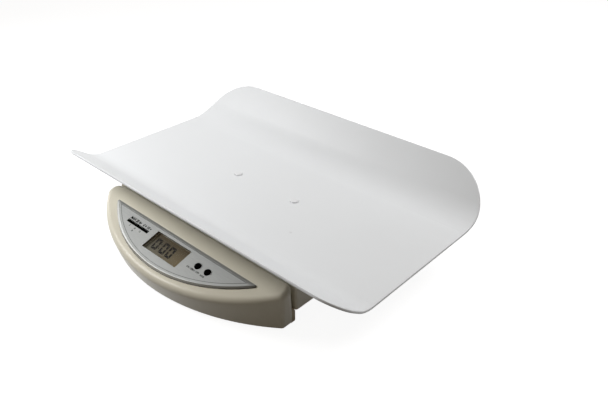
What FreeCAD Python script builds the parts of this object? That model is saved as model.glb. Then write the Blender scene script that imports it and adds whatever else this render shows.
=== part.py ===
import FreeCAD, Part
import math
import os

# A digital baby weighing scale. Lengths are in millimetres and angles in degrees.
# X runs across the scale, Y from the display at the front to the back, and Z up.
# The origin is on the table, under the middle of the scale's outline.

V = FreeCAD.Vector

# Tray: a dished sheet with a low lip in front and a tall sloping wall behind
TRAY_WIDTH = 560.0
TRAY_WALL = 3.5
TRAY_RIM_ROUND = 1.2
BED_DEPTH = 194.0
BED_HEIGHT = 65.0
LIP_RADIUS = 41.0
LIP_ANGLE = 36.0
LIP_LENGTH = 47.5
BACK_RADIUS = 67.0
BACK_ANGLE = 46.0
BACK_LENGTH = 49.0
FRONT_CORNER = 36.0
BACK_CORNER = 83.0

# Tray fixings, one each side of the middle
TRAY_SCREW_X = 59.4
TRAY_SCREW_SETBACK = 102.7
TRAY_SCREW = 5.0
TRAY_SCREW_END = 1.2
TRAY_SCREW_HEAD = 9.3
TRAY_SCREW_HEAD_HEIGHT = 2.4
TRAY_NUT_WIDTH = 8.0
TRAY_NUT_HEIGHT = 4.7
CAP_DIAMETER = 11.6
CAP_HEIGHT = 1.6
CAP_SEAT = 0.4
CAP_STEM = 3.0
CAP_STEM_LENGTH = 1.3

# Share of a cap's or a button's height that its rounded top edge takes
CROWN = 0.6

# Head: the bow-fronted housing that carries the display
HEAD_WIDTH = 368.0
HEAD_GAP = 28.8
HEAD_DEPTH = 81.9
END_DEPTH = 19.2
HEAD_FRONT_LEAN = 18.7
HEAD_END_LEAN = 2.5
HEAD_CORNER = 5.5
HEAD_CORNER_GROWTH = 8.0
HEAD_WALL = 2.5
HEAD_RIM_ROUND = 8.0
HEAD_BACK_ROUND = 4.0
HEAD_INNER_ROUND = 6.0
FOOT_HEIGHT = 3.0
SHADOW_GAP = 1.5
SHADOW_INSET = 0.8

# Display panel, tilted towards the person who weighs
PANEL_TILT = 17.0
PANEL_SETBACK = 60.0
PANEL_DROP = 12.0
PLATE_WIDTH = 301.0
PLATE_TOP = 5.5
PLATE_BOTTOM = 51.0
PLATE_RISE = 2.4
PLATE_TIP = 1.8
BEVEL_WIDTH = 3.5
BEVEL_HEIGHT = 1.1
OVERLAY_INSET = 3.8
OVERLAY_RECESS = 0.6
OVERLAY_THICKNESS = 0.4

# Display window and the LCD stack below it
WINDOW_WIDTH = 71.5
WINDOW_HEIGHT = 30.2
WINDOW_X = -1.8
WINDOW_DROP = 18.3
WINDOW_ROUND = 1.0
LENS_FLANGE = 2.0
LENS_FLANGE_THICKNESS = 1.2
LENS_SETBACK = 0.5
GLASS_WIDTH = 78.0
GLASS_HEIGHT = 38.0
GLASS_THICKNESS = 2.8
GLASS_LEDGE = 3.0
LCD_FRAME_WALL = 2.0
STRIP_LENGTH = 64.0
STRIP_WIDTH = 2.4
STRIP_SPACING = 26.0

# Buttons and their switches
BUTTON_X = (59.8, 78.8)
BUTTON_DROP = 14.7
BUTTON_DIAMETER = 9.4
BUTTON_PROUD = 1.2
BUTTON_FLANGE = 14.0
BUTTON_FLANGE_THICKNESS = 1.2
BUTTON_STEM = 5.0
BUTTON_TRAVEL = 0.6
SWITCH_WIDTH = 6.0
SWITCH_HEIGHT = 3.5
SWITCH_FLOOR = 0.8
PLUNGER_DIAMETER = 3.4
PLUNGER_PROUD = 0.9

# Main board, hung under the head's top
BOARD_DROP = 7.5
BOARD_THICKNESS = 1.6
BOARD_LEFT = 52.0
BOARD_RIGHT = 92.0
BOARD_TOP = 4.0
BOARD_BOTTOM = 40.0
BOARD_SCREW_INSET = 4.0
BOARD_SCREW = 2.6
BOARD_SCREW_LENGTH = 6.0
BOARD_SCREW_HEAD = 4.8
BOARD_SCREW_HEAD_HEIGHT = 1.6
BOARD_BOSS = 6.0
SOCKET_HEIGHT = 6.0
SOCKET_X = (-26.0, -4.0)
SOCKET_Y = -14.0
SOCKET_WIDTH = 10.0
SOCKET_DEPTH = 8.0
CHIP_X = 17.0
CHIP_Y = -18.0
CHIP_WIDTH = 14.0
CHIP_HEIGHT = 1.6
CRYSTAL_X = 35.5
CRYSTAL_LENGTH = 11.0
CRYSTAL_WIDTH = 4.5
CRYSTAL_HEIGHT = 3.4
CRYSTAL_ROUND = 2.0
CAPACITOR_X = (34.0, 44.0)
CAPACITOR_Y = -30.0
CAPACITOR_DIAMETER = 6.3
CAPACITOR_HEIGHT = 7.0

# Housing screws, driven from below into posts of the head cover
MIDDLE_POST_SETBACK = 73.2
SIDE_POST_INSET = 69.0
SIDE_POST_SETBACK = 43.2
END_POST_INSET = 22.0
END_POST_SETBACK = 17.7
POST_DIAMETER = 7.0
HOUSING_SCREW = 3.0
HOUSING_SCREW_HEAD = 5.6
HOUSING_SCREW_HEAD_HEIGHT = 2.4
HOUSING_SCREW_LENGTH = 14.0
SCREW_SEAT_HEIGHT = 3.0
HEAD_COUNTERBORE = 3.0

# Bottom housing
FLOOR = 2.5
TONGUE_INSET = 19.0
TONGUE_DEPTH = 211.4
TONGUE_WALL_HEIGHT = 27.0
TONGUE_CORNER = 22.0
TONGUE_ROOT = 44.0
HOUSING_WALL = 2.5
LOCATING_LIP = 4.5
LOCATING_LIP_THICKNESS = 1.5
APRON_THICKNESS = 2.0
APRON_INSET = 0.2
APRON_ROUND = 1.6
APRON_DROP = 1.2
EAR_WIDTH = 8.0
EAR_DEPTH = 6.0
EAR_HEIGHT = 19.5
LEAD_GATE = 60.0
LEAD_GATE_HEIGHT = 17.0
LEAD_GATE_DEPTH = 12.5

# Weighing platform cover
COVER_DEPTH = 227.0
COVER_OVERHANG = 2.0
COVER_WALL = 3.0
COVER_ROUND = 5.0
COVER_CORNER = 24.0
COVER_FRONT_CORNER = 3.3
SEAM = 1.5
SKIRT_CLEARANCE = 17.3
SEAT_RISE = 6.0
SEAT_WIDTH = 240.0
SEAT_DEPTH = 150.0
SEAT_CORNER = 12.0
RIB_HEIGHT = 12.0
RIB_THICKNESS = 2.0
RIB_X = (124.0, 146.0)

# Load path: frame, spacers, load cell, base plate
FRAME_WIDTH = 220.0
FRAME_DEPTH = 130.0
FRAME_THICKNESS = 4.0
FRAME_CORNER = 8.0
FRAME_SCREW_INSET = 14.0
FRAME_SCREW = 3.5
FRAME_SCREW_LENGTH = 8.5
PAN_HEAD = 7.0
PAN_HEAD_HEIGHT = 2.4
SPACER_HEIGHT = 3.0
SPACER_LENGTH = 40.0
CELL_LENGTH = 130.0
CELL_WIDTH = 30.0
CELL_HEIGHT = 22.0
CELL_BORE = 13.0
CELL_BORE_SPACING = 22.0
CELL_SLOT = 4.0
CELL_SCREW = 6.0
CELL_SCREW_HEAD = 11.0
CELL_SCREW_HEAD_HEIGHT = 3.3
CELL_SCREW_KEY = 4.0
CELL_SCREW_ENGAGEMENT = 14.0
CELL_SCREW_END = 10.0
CELL_SCREW_PITCH = 20.0
SEALANT_LENGTH = 26.0
SEALANT_WIDTH = 24.0
SEALANT_THICKNESS = 1.0
SEALANT_CORNER = 3.0
BASE_PLATE_GAP = 23.4
BASE_PLATE_DEPTH = 140.0
BASE_PLATE_THICKNESS = 3.0
BASE_PLATE_SCREW = 3.5
BASE_PLATE_SCREW_LENGTH = 12.0
BASE_PLATE_BOSS = 10.0
CELL_BOSS = 19.0
CELL_COUNTERBORE = 4.0
STOP_DIAMETER = 6.0
STOP_HEX = 10.0
STOP_HEX_HEIGHT = 5.0
STOP_INSET = 20.0
STOP_SPACING = 100.0
PLATFORM_TRAVEL = 0.5
STOP_SPARE = 0.1

# Rubber feet
FOOT_DIAMETER = 20.0
FOOT_RECESS = 1.5
FRONT_FOOT_INSET = 59.0
FRONT_FOOT_SETBACK = 33.2
BACK_FOOT_INSET = 25.0
BACK_FOOT_SETBACK = 26.0

# Battery bay: four AA cells side by side, and a door that slides out to the left
AA_DIAMETER = 14.2
AA_LENGTH = 50.0
AA_TERMINAL = 5.2
AA_TERMINAL_LENGTH = 1.0
AA_COUNT = 4
AA_GAP = 0.4
CONTACT_THICKNESS = 0.5
CONTACT_WIDTH = 11.0
SPRING_WIRE = 0.7
SPRING_DIAMETER = 6.0
SPRING_LENGTH = 3.6
SPRING_TURNS = 2.5
BAY_WALL = 2.0
BAY_INSET = 5.0
DOOR_THICKNESS = 0.95
DOOR_TONGUE = 3.0
DOOR_LIP = 2.0
DOOR_LIP_HEIGHT = 11.0
DOOR_OVERLAP = 1.0
DOOR_GROOVE = 1.2
RAIL_WIDTH = 5.5
RAIL_HEIGHT = 4.5

# Leads
CELL_LEAD = 3.6
BATTERY_LEAD = 2.4
SOCKET_APPROACH = 13.0
LEAD_EXIT = 8.0
LEAD_RUN = 16.0
LEAD_DROP = 12.0
LEAD_LIFT = 2.0

# Clearances
FIT = 0.3
CLOSE_FIT = 0.1
BORE_FIT = 0.05

# Heights, worked down from the tray's bed
tray_under = BED_HEIGHT - TRAY_WALL
cap_seat = BED_HEIGHT - CAP_SEAT
cover_top = tray_under - SEAT_RISE
frame_top = cover_top - COVER_WALL
frame_under = frame_top - FRAME_THICKNESS
cell_top = frame_under - SPACER_HEIGHT
cell_under = cell_top - CELL_HEIGHT
plate_top = cell_under - SPACER_HEIGHT
plate_under = plate_top - BASE_PLATE_THICKNESS
floor_top = FOOT_HEIGHT + FLOOR
skirt_bottom = FOOT_HEIGHT + SKIRT_CLEARANCE
cover_bottom = FOOT_HEIGHT + SHADOW_GAP
screw_seat = floor_top + SCREW_SEAT_HEIGHT


def head_reach():
    """How far the head's rounded front rim stands before the bed's front line."""
    tilt = math.radians(PANEL_TILT)
    lean = math.atan2(HEAD_FRONT_LEAN, BED_HEIGHT - FOOT_HEIGHT)
    top_y = -PANEL_SETBACK + PLATE_RISE * math.sin(tilt)
    top_z = BED_HEIGHT - PANEL_DROP - PLATE_RISE * math.cos(tilt)
    wall_foot = HEAD_GAP + HEAD_DEPTH
    rise = top_z - top_y * math.tan(tilt) - FOOT_HEIGHT
    corner = (wall_foot + rise * math.tan(lean)) / (1 + math.tan(lean) * math.tan(tilt))
    trim = HEAD_RIM_ROUND / math.tan((math.pi / 2 - lean + tilt) / 2)
    return corner - trim * math.cos(tilt) - HEAD_RIM_ROUND * math.sin(tilt) + HEAD_RIM_ROUND


def back_reach():
    """How far the tray's rounded back edge stands behind the bed's front line."""
    bend = math.radians(BACK_ANGLE)
    corner = BED_DEPTH + (BACK_RADIUS + TRAY_WALL) * math.sin(bend) + BACK_LENGTH * math.cos(bend)
    return corner - TRAY_RIM_ROUND * (math.sin(bend) + math.cos(bend) - 1)


# Places along Y, so that the outline's middle is at zero
bed_front = (head_reach() - back_reach()) / 2
bed_back = bed_front + BED_DEPTH
head_back = bed_front - HEAD_GAP
middle_y = bed_front + TRAY_SCREW_SETBACK
platform_front = head_back + SEAM
platform_back = platform_front + COVER_DEPTH
apron_back = head_back + APRON_THICKNESS
tongue_back = apron_back + TONGUE_DEPTH

# Places along X: the bottom housing's tongue, the battery bay at its left, and the base plate beside the bay
tongue_half = HEAD_WIDTH / 2 - TONGUE_INSET
bay_left = -tongue_half + BAY_INSET
bay_right = bay_left + AA_LENGTH + SPRING_LENGTH + 2 * CONTACT_THICKNESS
base_plate_half = -bay_right - BAY_WALL - BASE_PLATE_GAP

# Levels in the panel's own frame: X across, Y up the slope, Z square out of the faceplate
cream = -PLATE_RISE
shell_under = cream - HEAD_WALL
board_face = shell_under - BOARD_DROP
board_back = board_face - BOARD_THICKNESS
switch_top = board_face + SWITCH_HEIGHT
plunger_top = switch_top + PLUNGER_PROUD
panel_place = V(0, bed_front - PANEL_SETBACK, BED_HEIGHT - PANEL_DROP)


def box(x0, x1, y0, y1, z0, z1):
    return Part.makeBox(x1 - x0, y1 - y0, z1 - z0, V(x0, y0, z0))


def cylinder(x, y, z0, z1, diameter):
    return Part.makeCylinder(diameter / 2, z1 - z0, V(x, y, z0))


def cone(x, y, z0, z1, diameter0, diameter1):
    return Part.makeCone(diameter0 / 2, diameter1 / 2, z1 - z0, V(x, y, z0))


def hexagon(x, y, z0, z1, across_flats):
    corner = across_flats / math.sqrt(3)
    turns = [math.radians(60 * step) for step in range(7)]
    rim = [V(x + corner * math.cos(turn), y + corner * math.sin(turn), z0) for turn in turns]
    return Part.Face(Part.makePolygon(rim)).extrude(V(0, 0, z1 - z0))


def is_upright(edge):
    first, last = edge.Vertexes[0].Point, edge.Vertexes[-1].Point
    return math.hypot(first.x - last.x, first.y - last.y) < 0.01


def rounded_box(x0, x1, y0, y1, z0, z1, radius):
    block = box(x0, x1, y0, y1, z0, z1)
    return block.makeFillet(radius, [edge for edge in block.Edges if is_upright(edge)])


def mirrored(x):
    return (-x, x)


def on_panel(shape):
    """Move a shape from the panel's own frame to its place on the tilted head."""
    placed = shape.copy()
    placed.rotate(V(0, 0, 0), V(1, 0, 0), PANEL_TILT)
    placed.translate(panel_place)
    return placed


def write(name, *solids):
    shape = solids[0] if len(solids) == 1 else Part.Compound(list(solids))
    faults = [solid for solid in shape.Solids if not solid.isValid()]
    if faults or not shape.Solids:
        raise ValueError(name + " is not made of valid solids")
    shape.exportStep("parts/" + name + ".step")
    print(name, len(shape.Solids), round(shape.Volume / 1000, 2))


# ---- Tray ----

def section_point(bend_y, radius, angle, length, side, offset):
    """A point of the tray's section: round a bend, then on by a straight length."""
    bend = math.radians(angle)
    reach = (radius + offset) * math.sin(bend) + length * math.cos(bend)
    rise = radius - (radius + offset) * math.cos(bend) + length * math.sin(bend)
    return V(0, bend_y + side * reach, BED_HEIGHT + rise)


def lip_point(share, length, offset):
    return section_point(bed_front, LIP_RADIUS, share * LIP_ANGLE, length, -1, offset)


def back_point(share, length, offset):
    return section_point(bed_back, BACK_RADIUS, share * BACK_ANGLE, length, 1, offset)


def tray_section():
    edges = []
    for offset in (0, TRAY_WALL):
        edges.append(Part.LineSegment(lip_point(1, LIP_LENGTH, offset), lip_point(1, 0, offset)))
        edges.append(Part.Arc(lip_point(1, 0, offset), lip_point(0.5, 0, offset), lip_point(0, 0, offset)))
        edges.append(Part.LineSegment(lip_point(0, 0, offset), back_point(0, 0, offset)))
        edges.append(Part.Arc(back_point(0, 0, offset), back_point(0.5, 0, offset),
                              back_point(1, 0, offset)))
        edges.append(Part.LineSegment(back_point(1, 0, offset), back_point(1, BACK_LENGTH, offset)))
    edges.append(Part.LineSegment(lip_point(1, LIP_LENGTH, 0), lip_point(1, LIP_LENGTH, TRAY_WALL)))
    edges.append(Part.LineSegment(back_point(1, BACK_LENGTH, 0), back_point(1, BACK_LENGTH, TRAY_WALL)))
    shapes = [edge.toShape() for edge in edges]
    return Part.Face(Part.Wire(Part.__sortEdges__(shapes)))


def corner_waste(tip, angle, radius, side, hand):
    """What lies outside one rounded corner, as a prism square to the sloping wall."""
    slope = math.radians(angle)
    down = V(0, -side * math.cos(slope), -math.sin(slope))
    inward = V(-hand, 0, 0)
    square = V(0, -side * math.sin(slope), math.cos(slope))
    corner = V(hand * TRAY_WIDTH / 2, tip.y, tip.z)
    spare = TRAY_WALL
    near = radius * (1 - math.sqrt(0.5))

    def at(across, along):
        return corner + inward * across + down * along

    edges = [
        Part.LineSegment(at(radius, -spare), at(-spare, -spare)),
        Part.LineSegment(at(-spare, -spare), at(-spare, radius)),
        Part.LineSegment(at(-spare, radius), at(0, radius)),
        Part.Arc(at(0, radius), at(near, near), at(radius, 0)),
        Part.LineSegment(at(radius, 0), at(radius, -spare)),
    ]
    face = Part.Face(Part.Wire([edge.toShape() for edge in edges]))
    face.translate(square * -radius)
    return face.extrude(square * (2 * radius))


def is_rim_edge(edge, tips):
    """True on the tray's outline, and not on its bends or across its thickness."""
    first, last = edge.Vertexes[0].Point, edge.Vertexes[-1].Point
    crosswise = math.hypot(first.y - last.y, first.z - last.z) < 0.01
    at_tip = min(abs(first.y - tip.y) for tip in tips) < 1.5 * TRAY_WALL
    return edge.Length > 1.5 * TRAY_WALL and (at_tip or not crosswise)


def make_tray():
    tray = tray_section()
    tray.translate(V(-TRAY_WIDTH / 2, 0, 0))
    tray = tray.extrude(V(TRAY_WIDTH, 0, 0))
    lip_tip = lip_point(1, LIP_LENGTH, 0)
    back_tip = back_point(1, BACK_LENGTH, 0)
    for hand in (-1, 1):
        tray = tray.cut(corner_waste(lip_tip, LIP_ANGLE, FRONT_CORNER, -1, hand))
        tray = tray.cut(corner_waste(back_tip, BACK_ANGLE, BACK_CORNER, 1, hand))
    rim = [edge for edge in tray.Edges if is_rim_edge(edge, (lip_tip, back_tip))]
    tray = tray.makeFillet(TRAY_RIM_ROUND, rim)
    head_under = cap_seat - TRAY_SCREW_HEAD_HEIGHT
    for x in mirrored(TRAY_SCREW_X):
        tray = tray.cut(cylinder(x, middle_y, cap_seat, BED_HEIGHT, CAP_DIAMETER + 2 * CLOSE_FIT))
        tray = tray.cut(cylinder(x, middle_y, tray_under, cap_seat, TRAY_SCREW + FIT))
        tray = tray.cut(cone(x, middle_y, head_under, cap_seat, TRAY_SCREW + FIT, TRAY_SCREW_HEAD + FIT))
    return tray


def make_tray_screw(x):
    head_under = cap_seat - TRAY_SCREW_HEAD_HEIGHT
    screw = cone(x, middle_y, head_under, cap_seat, TRAY_SCREW, TRAY_SCREW_HEAD)
    tip = frame_under - TRAY_NUT_HEIGHT - TRAY_SCREW_END
    screw = screw.fuse(cylinder(x, middle_y, tip, head_under, TRAY_SCREW))
    socket_floor = cap_seat - CAP_STEM_LENGTH - CLOSE_FIT
    return screw.cut(cylinder(x, middle_y, socket_floor, cap_seat, CAP_STEM + CLOSE_FIT))


def make_tray_nut(x):
    nut_under = frame_under - TRAY_NUT_HEIGHT
    nut = hexagon(x, middle_y, nut_under, frame_under, TRAY_NUT_WIDTH)
    return nut.cut(cylinder(x, middle_y, nut_under, frame_under, TRAY_SCREW + 2 * BORE_FIT))


def make_cap(x):
    """A screw cap: a disc with a rounded edge in a shallow seat, on a stem in the screw's socket."""
    disc = cylinder(x, middle_y, cap_seat, BED_HEIGHT + CAP_HEIGHT, CAP_DIAMETER)
    top_edge = max(disc.Edges, key=lambda edge: edge.BoundBox.ZMin)
    disc = disc.makeFillet(CROWN * CAP_HEIGHT, [top_edge])
    return disc.fuse(cylinder(x, middle_y, cap_seat - CAP_STEM_LENGTH, cap_seat, CAP_STEM))


# ---- Head ----

def head_outline(height, inset):
    """The head's outline at a height: bowed front, short ends, straight back, corners rounder higher up."""
    share = (height - FOOT_HEIGHT) / (BED_HEIGHT - FOOT_HEIGHT)
    full_half = HEAD_WIDTH / 2 + share * HEAD_END_LEAN
    sag = HEAD_DEPTH - END_DEPTH + share * HEAD_FRONT_LEAN
    full_radius = (full_half ** 2 + sag ** 2) / (2 * sag)
    centre_y = head_back - END_DEPTH - sag + full_radius
    corner = HEAD_CORNER + share * HEAD_CORNER_GROWTH - inset
    half, radius = full_half - inset, full_radius - inset
    corner_x = half - corner
    corner_y = centre_y - math.sqrt((radius - corner) ** 2 - corner_x ** 2)
    lean = math.atan2(corner_x, centre_y - corner_y)
    half_lean = (lean + math.pi / 2) / 2
    back_y = head_back - inset
    end_y = back_y - corner
    near = corner * math.sqrt(0.5)

    def corner_point(hand, turn):
        return V(hand * (corner_x + corner * math.sin(turn)), corner_y - corner * math.cos(turn), height)

    left, right = corner_point(-1, lean), corner_point(1, lean)
    right_end, left_end = corner_point(1, math.pi / 2), corner_point(-1, math.pi / 2)
    edges = [
        Part.Arc(left, V(0, centre_y - radius, height), right),
        Part.Arc(right, corner_point(1, half_lean), right_end),
        Part.LineSegment(right_end, V(half, end_y, height)),
        Part.Arc(V(half, end_y, height), V(corner_x + near, end_y + near, height),
                 V(corner_x, back_y, height)),
        Part.LineSegment(V(corner_x, back_y, height), V(-corner_x, back_y, height)),
        Part.Arc(V(-corner_x, back_y, height), V(-corner_x - near, end_y + near, height),
                 V(-half, end_y, height)),
        Part.LineSegment(V(-half, end_y, height), left_end),
        Part.Arc(left_end, corner_point(-1, half_lean), left),
    ]
    return Part.Wire([edge.toShape() for edge in edges])


def above_panel(level):
    """Everything over a plane that lies parallel to the panel, at a level of the panel's frame."""
    return on_panel(box(-HEAD_WIDTH, HEAD_WIDTH, -HEAD_WIDTH, HEAD_WIDTH, level, level + HEAD_WIDTH))


def head_walls(inset):
    """The block inside the head's walls, from its foot up past its top, drawn in by an inset all round."""
    return Part.makeLoft([head_outline(FOOT_HEIGHT, inset), head_outline(BED_HEIGHT, inset)], True, True)


def head_body(inset, back_radius, rim_radius):
    """The head as a solid block, drawn in by an inset all round and under its top."""
    body = head_walls(inset).cut(above_panel(cream - inset))
    return rounded_top(body, back_radius, rim_radius)


def rounded_top(body, back_radius, rim_radius):
    """Round the head's top edge: tight along the back, full round the front, passing over at the corners."""
    top = max(body.Faces, key=top_likeness)
    back_line = top.BoundBox.YMax - 0.01
    rounds = []
    for number, edge in enumerate(body.Edges, start=1):
        if any(edge.isSame(side) for side in top.Edges):
            ends = [edge.valueAt(edge.FirstParameter), edge.valueAt(edge.LastParameter)]
            rounds.append((number, *[back_radius if end.y > back_line else rim_radius for end in ends]))
    document = FreeCAD.newDocument("head")
    block = document.addObject("Part::Feature", "block")
    block.Shape = body
    fillet = document.addObject("Part::Fillet", "fillet")
    fillet.Base = block
    fillet.Edges = rounds
    document.recompute()
    rounded = fillet.Shape.copy()
    FreeCAD.closeDocument(document.Name)
    return rounded


def top_likeness(face):
    """How nearly a face looks the panel's way."""
    low_u, high_u, low_v, high_v = face.ParameterRange
    tilt = math.radians(PANEL_TILT)
    facing = V(0, -math.sin(tilt), math.cos(tilt))
    return face.normalAt((low_u + high_u) / 2, (low_v + high_v) / 2).dot(facing)


def post_places():
    places = [(0, head_back - MIDDLE_POST_SETBACK)]
    for inset, setback in ((SIDE_POST_INSET, SIDE_POST_SETBACK), (END_POST_INSET, END_POST_SETBACK)):
        places += [(x, head_back - setback) for x in mirrored(HEAD_WIDTH / 2 - inset)]
    return places


def board_screw_places():
    across = (-BOARD_LEFT + BOARD_SCREW_INSET, BOARD_RIGHT - BOARD_SCREW_INSET)
    along = (-BOARD_BOTTOM + BOARD_SCREW_INSET, BOARD_TOP - BOARD_SCREW_INSET)
    return [(x, y) for x in across for y in along]


def window_block(grow, low, high):
    """A block of the display window's shape, grown all round, in the panel's frame."""
    half, tall = WINDOW_WIDTH / 2 + grow, WINDOW_HEIGHT / 2 + grow
    return rounded_box(WINDOW_X - half, WINDOW_X + half, -WINDOW_DROP - tall, -WINDOW_DROP + tall,
                       low, high, WINDOW_ROUND)


def make_head_cover():
    outer = head_body(0, HEAD_BACK_ROUND, HEAD_RIM_ROUND)
    cover = outer.cut(head_body(HEAD_WALL, HEAD_INNER_ROUND, HEAD_INNER_ROUND))
    for x, y in post_places():
        cover = cover.fuse(cylinder(x, y, screw_seat, BED_HEIGHT, POST_DIAMETER).common(outer))
    for x, y in board_screw_places():
        cover = cover.fuse(on_panel(cylinder(x, y, board_face, shell_under + HEAD_WALL / 2, BOARD_BOSS)))
    cover = cover.cut(box(-HEAD_WIDTH, HEAD_WIDTH, -HEAD_WIDTH, HEAD_WIDTH, 0, cover_bottom))
    half_gate = LEAD_GATE / 2
    cover = cover.cut(box(-half_gate, half_gate, head_back - 2 * HEAD_WALL, head_back + HEAD_WALL,
                          0, FOOT_HEIGHT + LEAD_GATE_HEIGHT))
    flange_room = window_block(LENS_FLANGE + CLOSE_FIT, cream - LENS_FLANGE_THICKNESS, cream + HEAD_WALL)
    cover = cover.cut(on_panel(flange_room))
    cover = cover.cut(on_panel(window_block(0, shell_under - HEAD_WALL, cream + HEAD_WALL)))
    for x in BUTTON_X:
        cover = cover.cut(on_panel(cylinder(x, -BUTTON_DROP, shell_under - HEAD_WALL, cream + HEAD_WALL,
                                            BUTTON_DIAMETER + 2 * FIT)))
    for x, y in post_places():
        cover = cover.cut(cylinder(x, y, screw_seat, screw_seat + HOUSING_SCREW_LENGTH, HOUSING_SCREW))
    for x, y in board_screw_places():
        depth = BOARD_SCREW_LENGTH - BOARD_THICKNESS + FIT
        cover = cover.cut(on_panel(cylinder(x, y, board_face, board_face + depth, BOARD_SCREW)))
    return cover


def plate_outline(level, inset):
    """The faceplate's outline: a straight top edge, a bowed bottom edge and two small tips."""
    sag = PLATE_TOP + PLATE_BOTTOM
    full_radius = ((PLATE_WIDTH / 2) ** 2 + sag ** 2) / (2 * sag)
    centre_y = full_radius - PLATE_BOTTOM
    radius = full_radius - inset
    chord_y = PLATE_TOP - inset
    tip_y = chord_y - PLATE_TIP
    tip_x = math.sqrt((radius - PLATE_TIP) ** 2 - (centre_y - tip_y) ** 2)
    lean = math.atan2(tip_x, centre_y - tip_y)
    half_lean = (lean + math.pi) / 2

    def tip_point(hand, turn):
        return V(hand * (tip_x + PLATE_TIP * math.sin(turn)), tip_y - PLATE_TIP * math.cos(turn), level)

    edges = [
        Part.Arc(tip_point(-1, lean), V(0, centre_y - radius, level), tip_point(1, lean)),
        Part.Arc(tip_point(1, lean), tip_point(1, half_lean), tip_point(1, math.pi)),
        Part.LineSegment(tip_point(1, math.pi), tip_point(-1, math.pi)),
        Part.Arc(tip_point(-1, math.pi), tip_point(-1, half_lean), tip_point(-1, lean)),
    ]
    return Part.Wire([edge.toShape() for edge in edges])


def plate_slab(low, high, inset):
    return Part.Face(plate_outline(low, inset)).extrude(V(0, 0, high - low))


def cut_panel_openings(slab):
    """Open a layer of the panel for the display window and the two buttons."""
    slab = slab.cut(window_block(0, cream - FIT, FIT))
    for x in BUTTON_X:
        slab = slab.cut(cylinder(x, -BUTTON_DROP, cream - FIT, FIT, BUTTON_DIAMETER + 2 * FIT))
    return slab


def make_faceplate():
    plate = plate_slab(cream, -BEVEL_HEIGHT, 0)
    bevel = Part.makeLoft([plate_outline(-BEVEL_HEIGHT, 0), plate_outline(0, BEVEL_WIDTH)], True, True)
    plate = plate.fuse(bevel).removeSplitter()
    plate = plate.cut(plate_slab(-OVERLAY_RECESS, FIT, OVERLAY_INSET))
    return on_panel(cut_panel_openings(plate))


def make_overlay():
    sheet = plate_slab(-OVERLAY_RECESS, -OVERLAY_RECESS + OVERLAY_THICKNESS, OVERLAY_INSET + CLOSE_FIT)
    return on_panel(cut_panel_openings(sheet))


def make_lens():
    pane = window_block(-CLOSE_FIT, cream - LENS_FLANGE_THICKNESS, -LENS_SETBACK)
    flange = window_block(LENS_FLANGE, cream - LENS_FLANGE_THICKNESS, cream)
    return on_panel(pane.fuse(flange).removeSplitter())


def display_block(width, height, low, high):
    """A block centred under the display window."""
    half, tall = width / 2, height / 2
    return box(WINDOW_X - half, WINDOW_X + half, -WINDOW_DROP - tall, -WINDOW_DROP + tall, low, high)


def make_glass():
    return on_panel(display_block(GLASS_WIDTH, GLASS_HEIGHT, shell_under - GLASS_THICKNESS, shell_under))


def make_lcd_frame():
    wide, tall = GLASS_WIDTH + 2 * LCD_FRAME_WALL, GLASS_HEIGHT + 2 * LCD_FRAME_WALL
    frame = display_block(wide, tall, board_face, shell_under)
    pocket = display_block(GLASS_WIDTH + 2 * CLOSE_FIT, GLASS_HEIGHT + 2 * CLOSE_FIT,
                           shell_under - GLASS_THICKNESS, shell_under)
    below = display_block(GLASS_WIDTH - 2 * GLASS_LEDGE, GLASS_HEIGHT - 2 * GLASS_LEDGE,
                          board_face, shell_under)
    return on_panel(frame.cut(pocket).cut(below))


def make_connector_strip(side):
    y = -WINDOW_DROP + side * STRIP_SPACING / 2
    half = STRIP_WIDTH / 2
    strip = box(WINDOW_X - STRIP_LENGTH / 2, WINDOW_X + STRIP_LENGTH / 2, y - half, y + half,
                board_face, shell_under - GLASS_THICKNESS)
    return on_panel(strip)


def make_board():
    board = box(-BOARD_LEFT, BOARD_RIGHT, -BOARD_BOTTOM, BOARD_TOP, board_back, board_face)
    for x, y in board_screw_places():
        board = board.cut(cylinder(x, y, board_back, board_face, BOARD_SCREW + FIT))
    return on_panel(board)


def make_board_components():
    """The weighing chip, a crystal, two capacitors and the two lead sockets, under the board."""
    pieces = [under_board(CHIP_X, CHIP_Y, CHIP_WIDTH, CHIP_WIDTH, CHIP_HEIGHT)]
    crystal = under_board(CRYSTAL_X, CHIP_Y, CRYSTAL_LENGTH, CRYSTAL_WIDTH, CRYSTAL_HEIGHT)
    corners = [edge for edge in crystal.Edges if is_upright(edge)]
    pieces.append(crystal.makeFillet(CRYSTAL_ROUND, corners))
    pieces += [under_board(x, SOCKET_Y, SOCKET_WIDTH, SOCKET_DEPTH, SOCKET_HEIGHT) for x in SOCKET_X]
    pieces += [cylinder(x, CAPACITOR_Y, board_back - CAPACITOR_HEIGHT, board_back, CAPACITOR_DIAMETER)
               for x in CAPACITOR_X]
    return [on_panel(piece) for piece in pieces]


def under_board(x, y, width, depth, height):
    """A block on the underside of the main board, in the panel's frame."""
    return box(x - width / 2, x + width / 2, y - depth / 2, y + depth / 2, board_back - height, board_back)


def make_board_screw(x, y):
    head = cylinder(x, y, board_back - BOARD_SCREW_HEAD_HEIGHT, board_back, BOARD_SCREW_HEAD)
    shank = cylinder(x, y, board_back, board_back + BOARD_SCREW_LENGTH, BOARD_SCREW)
    return on_panel(head.fuse(shank))


def make_switch(x):
    half = SWITCH_WIDTH / 2
    body = box(x - half, x + half, -BUTTON_DROP - half, -BUTTON_DROP + half, board_face, switch_top)
    well = cylinder(x, -BUTTON_DROP, board_face + SWITCH_FLOOR, switch_top, PLUNGER_DIAMETER + 2 * CLOSE_FIT)
    return on_panel(body.cut(well))


def make_plunger(x):
    foot = board_face + SWITCH_FLOOR + BUTTON_TRAVEL + FIT
    return on_panel(cylinder(x, -BUTTON_DROP, foot, plunger_top, PLUNGER_DIAMETER))


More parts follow.
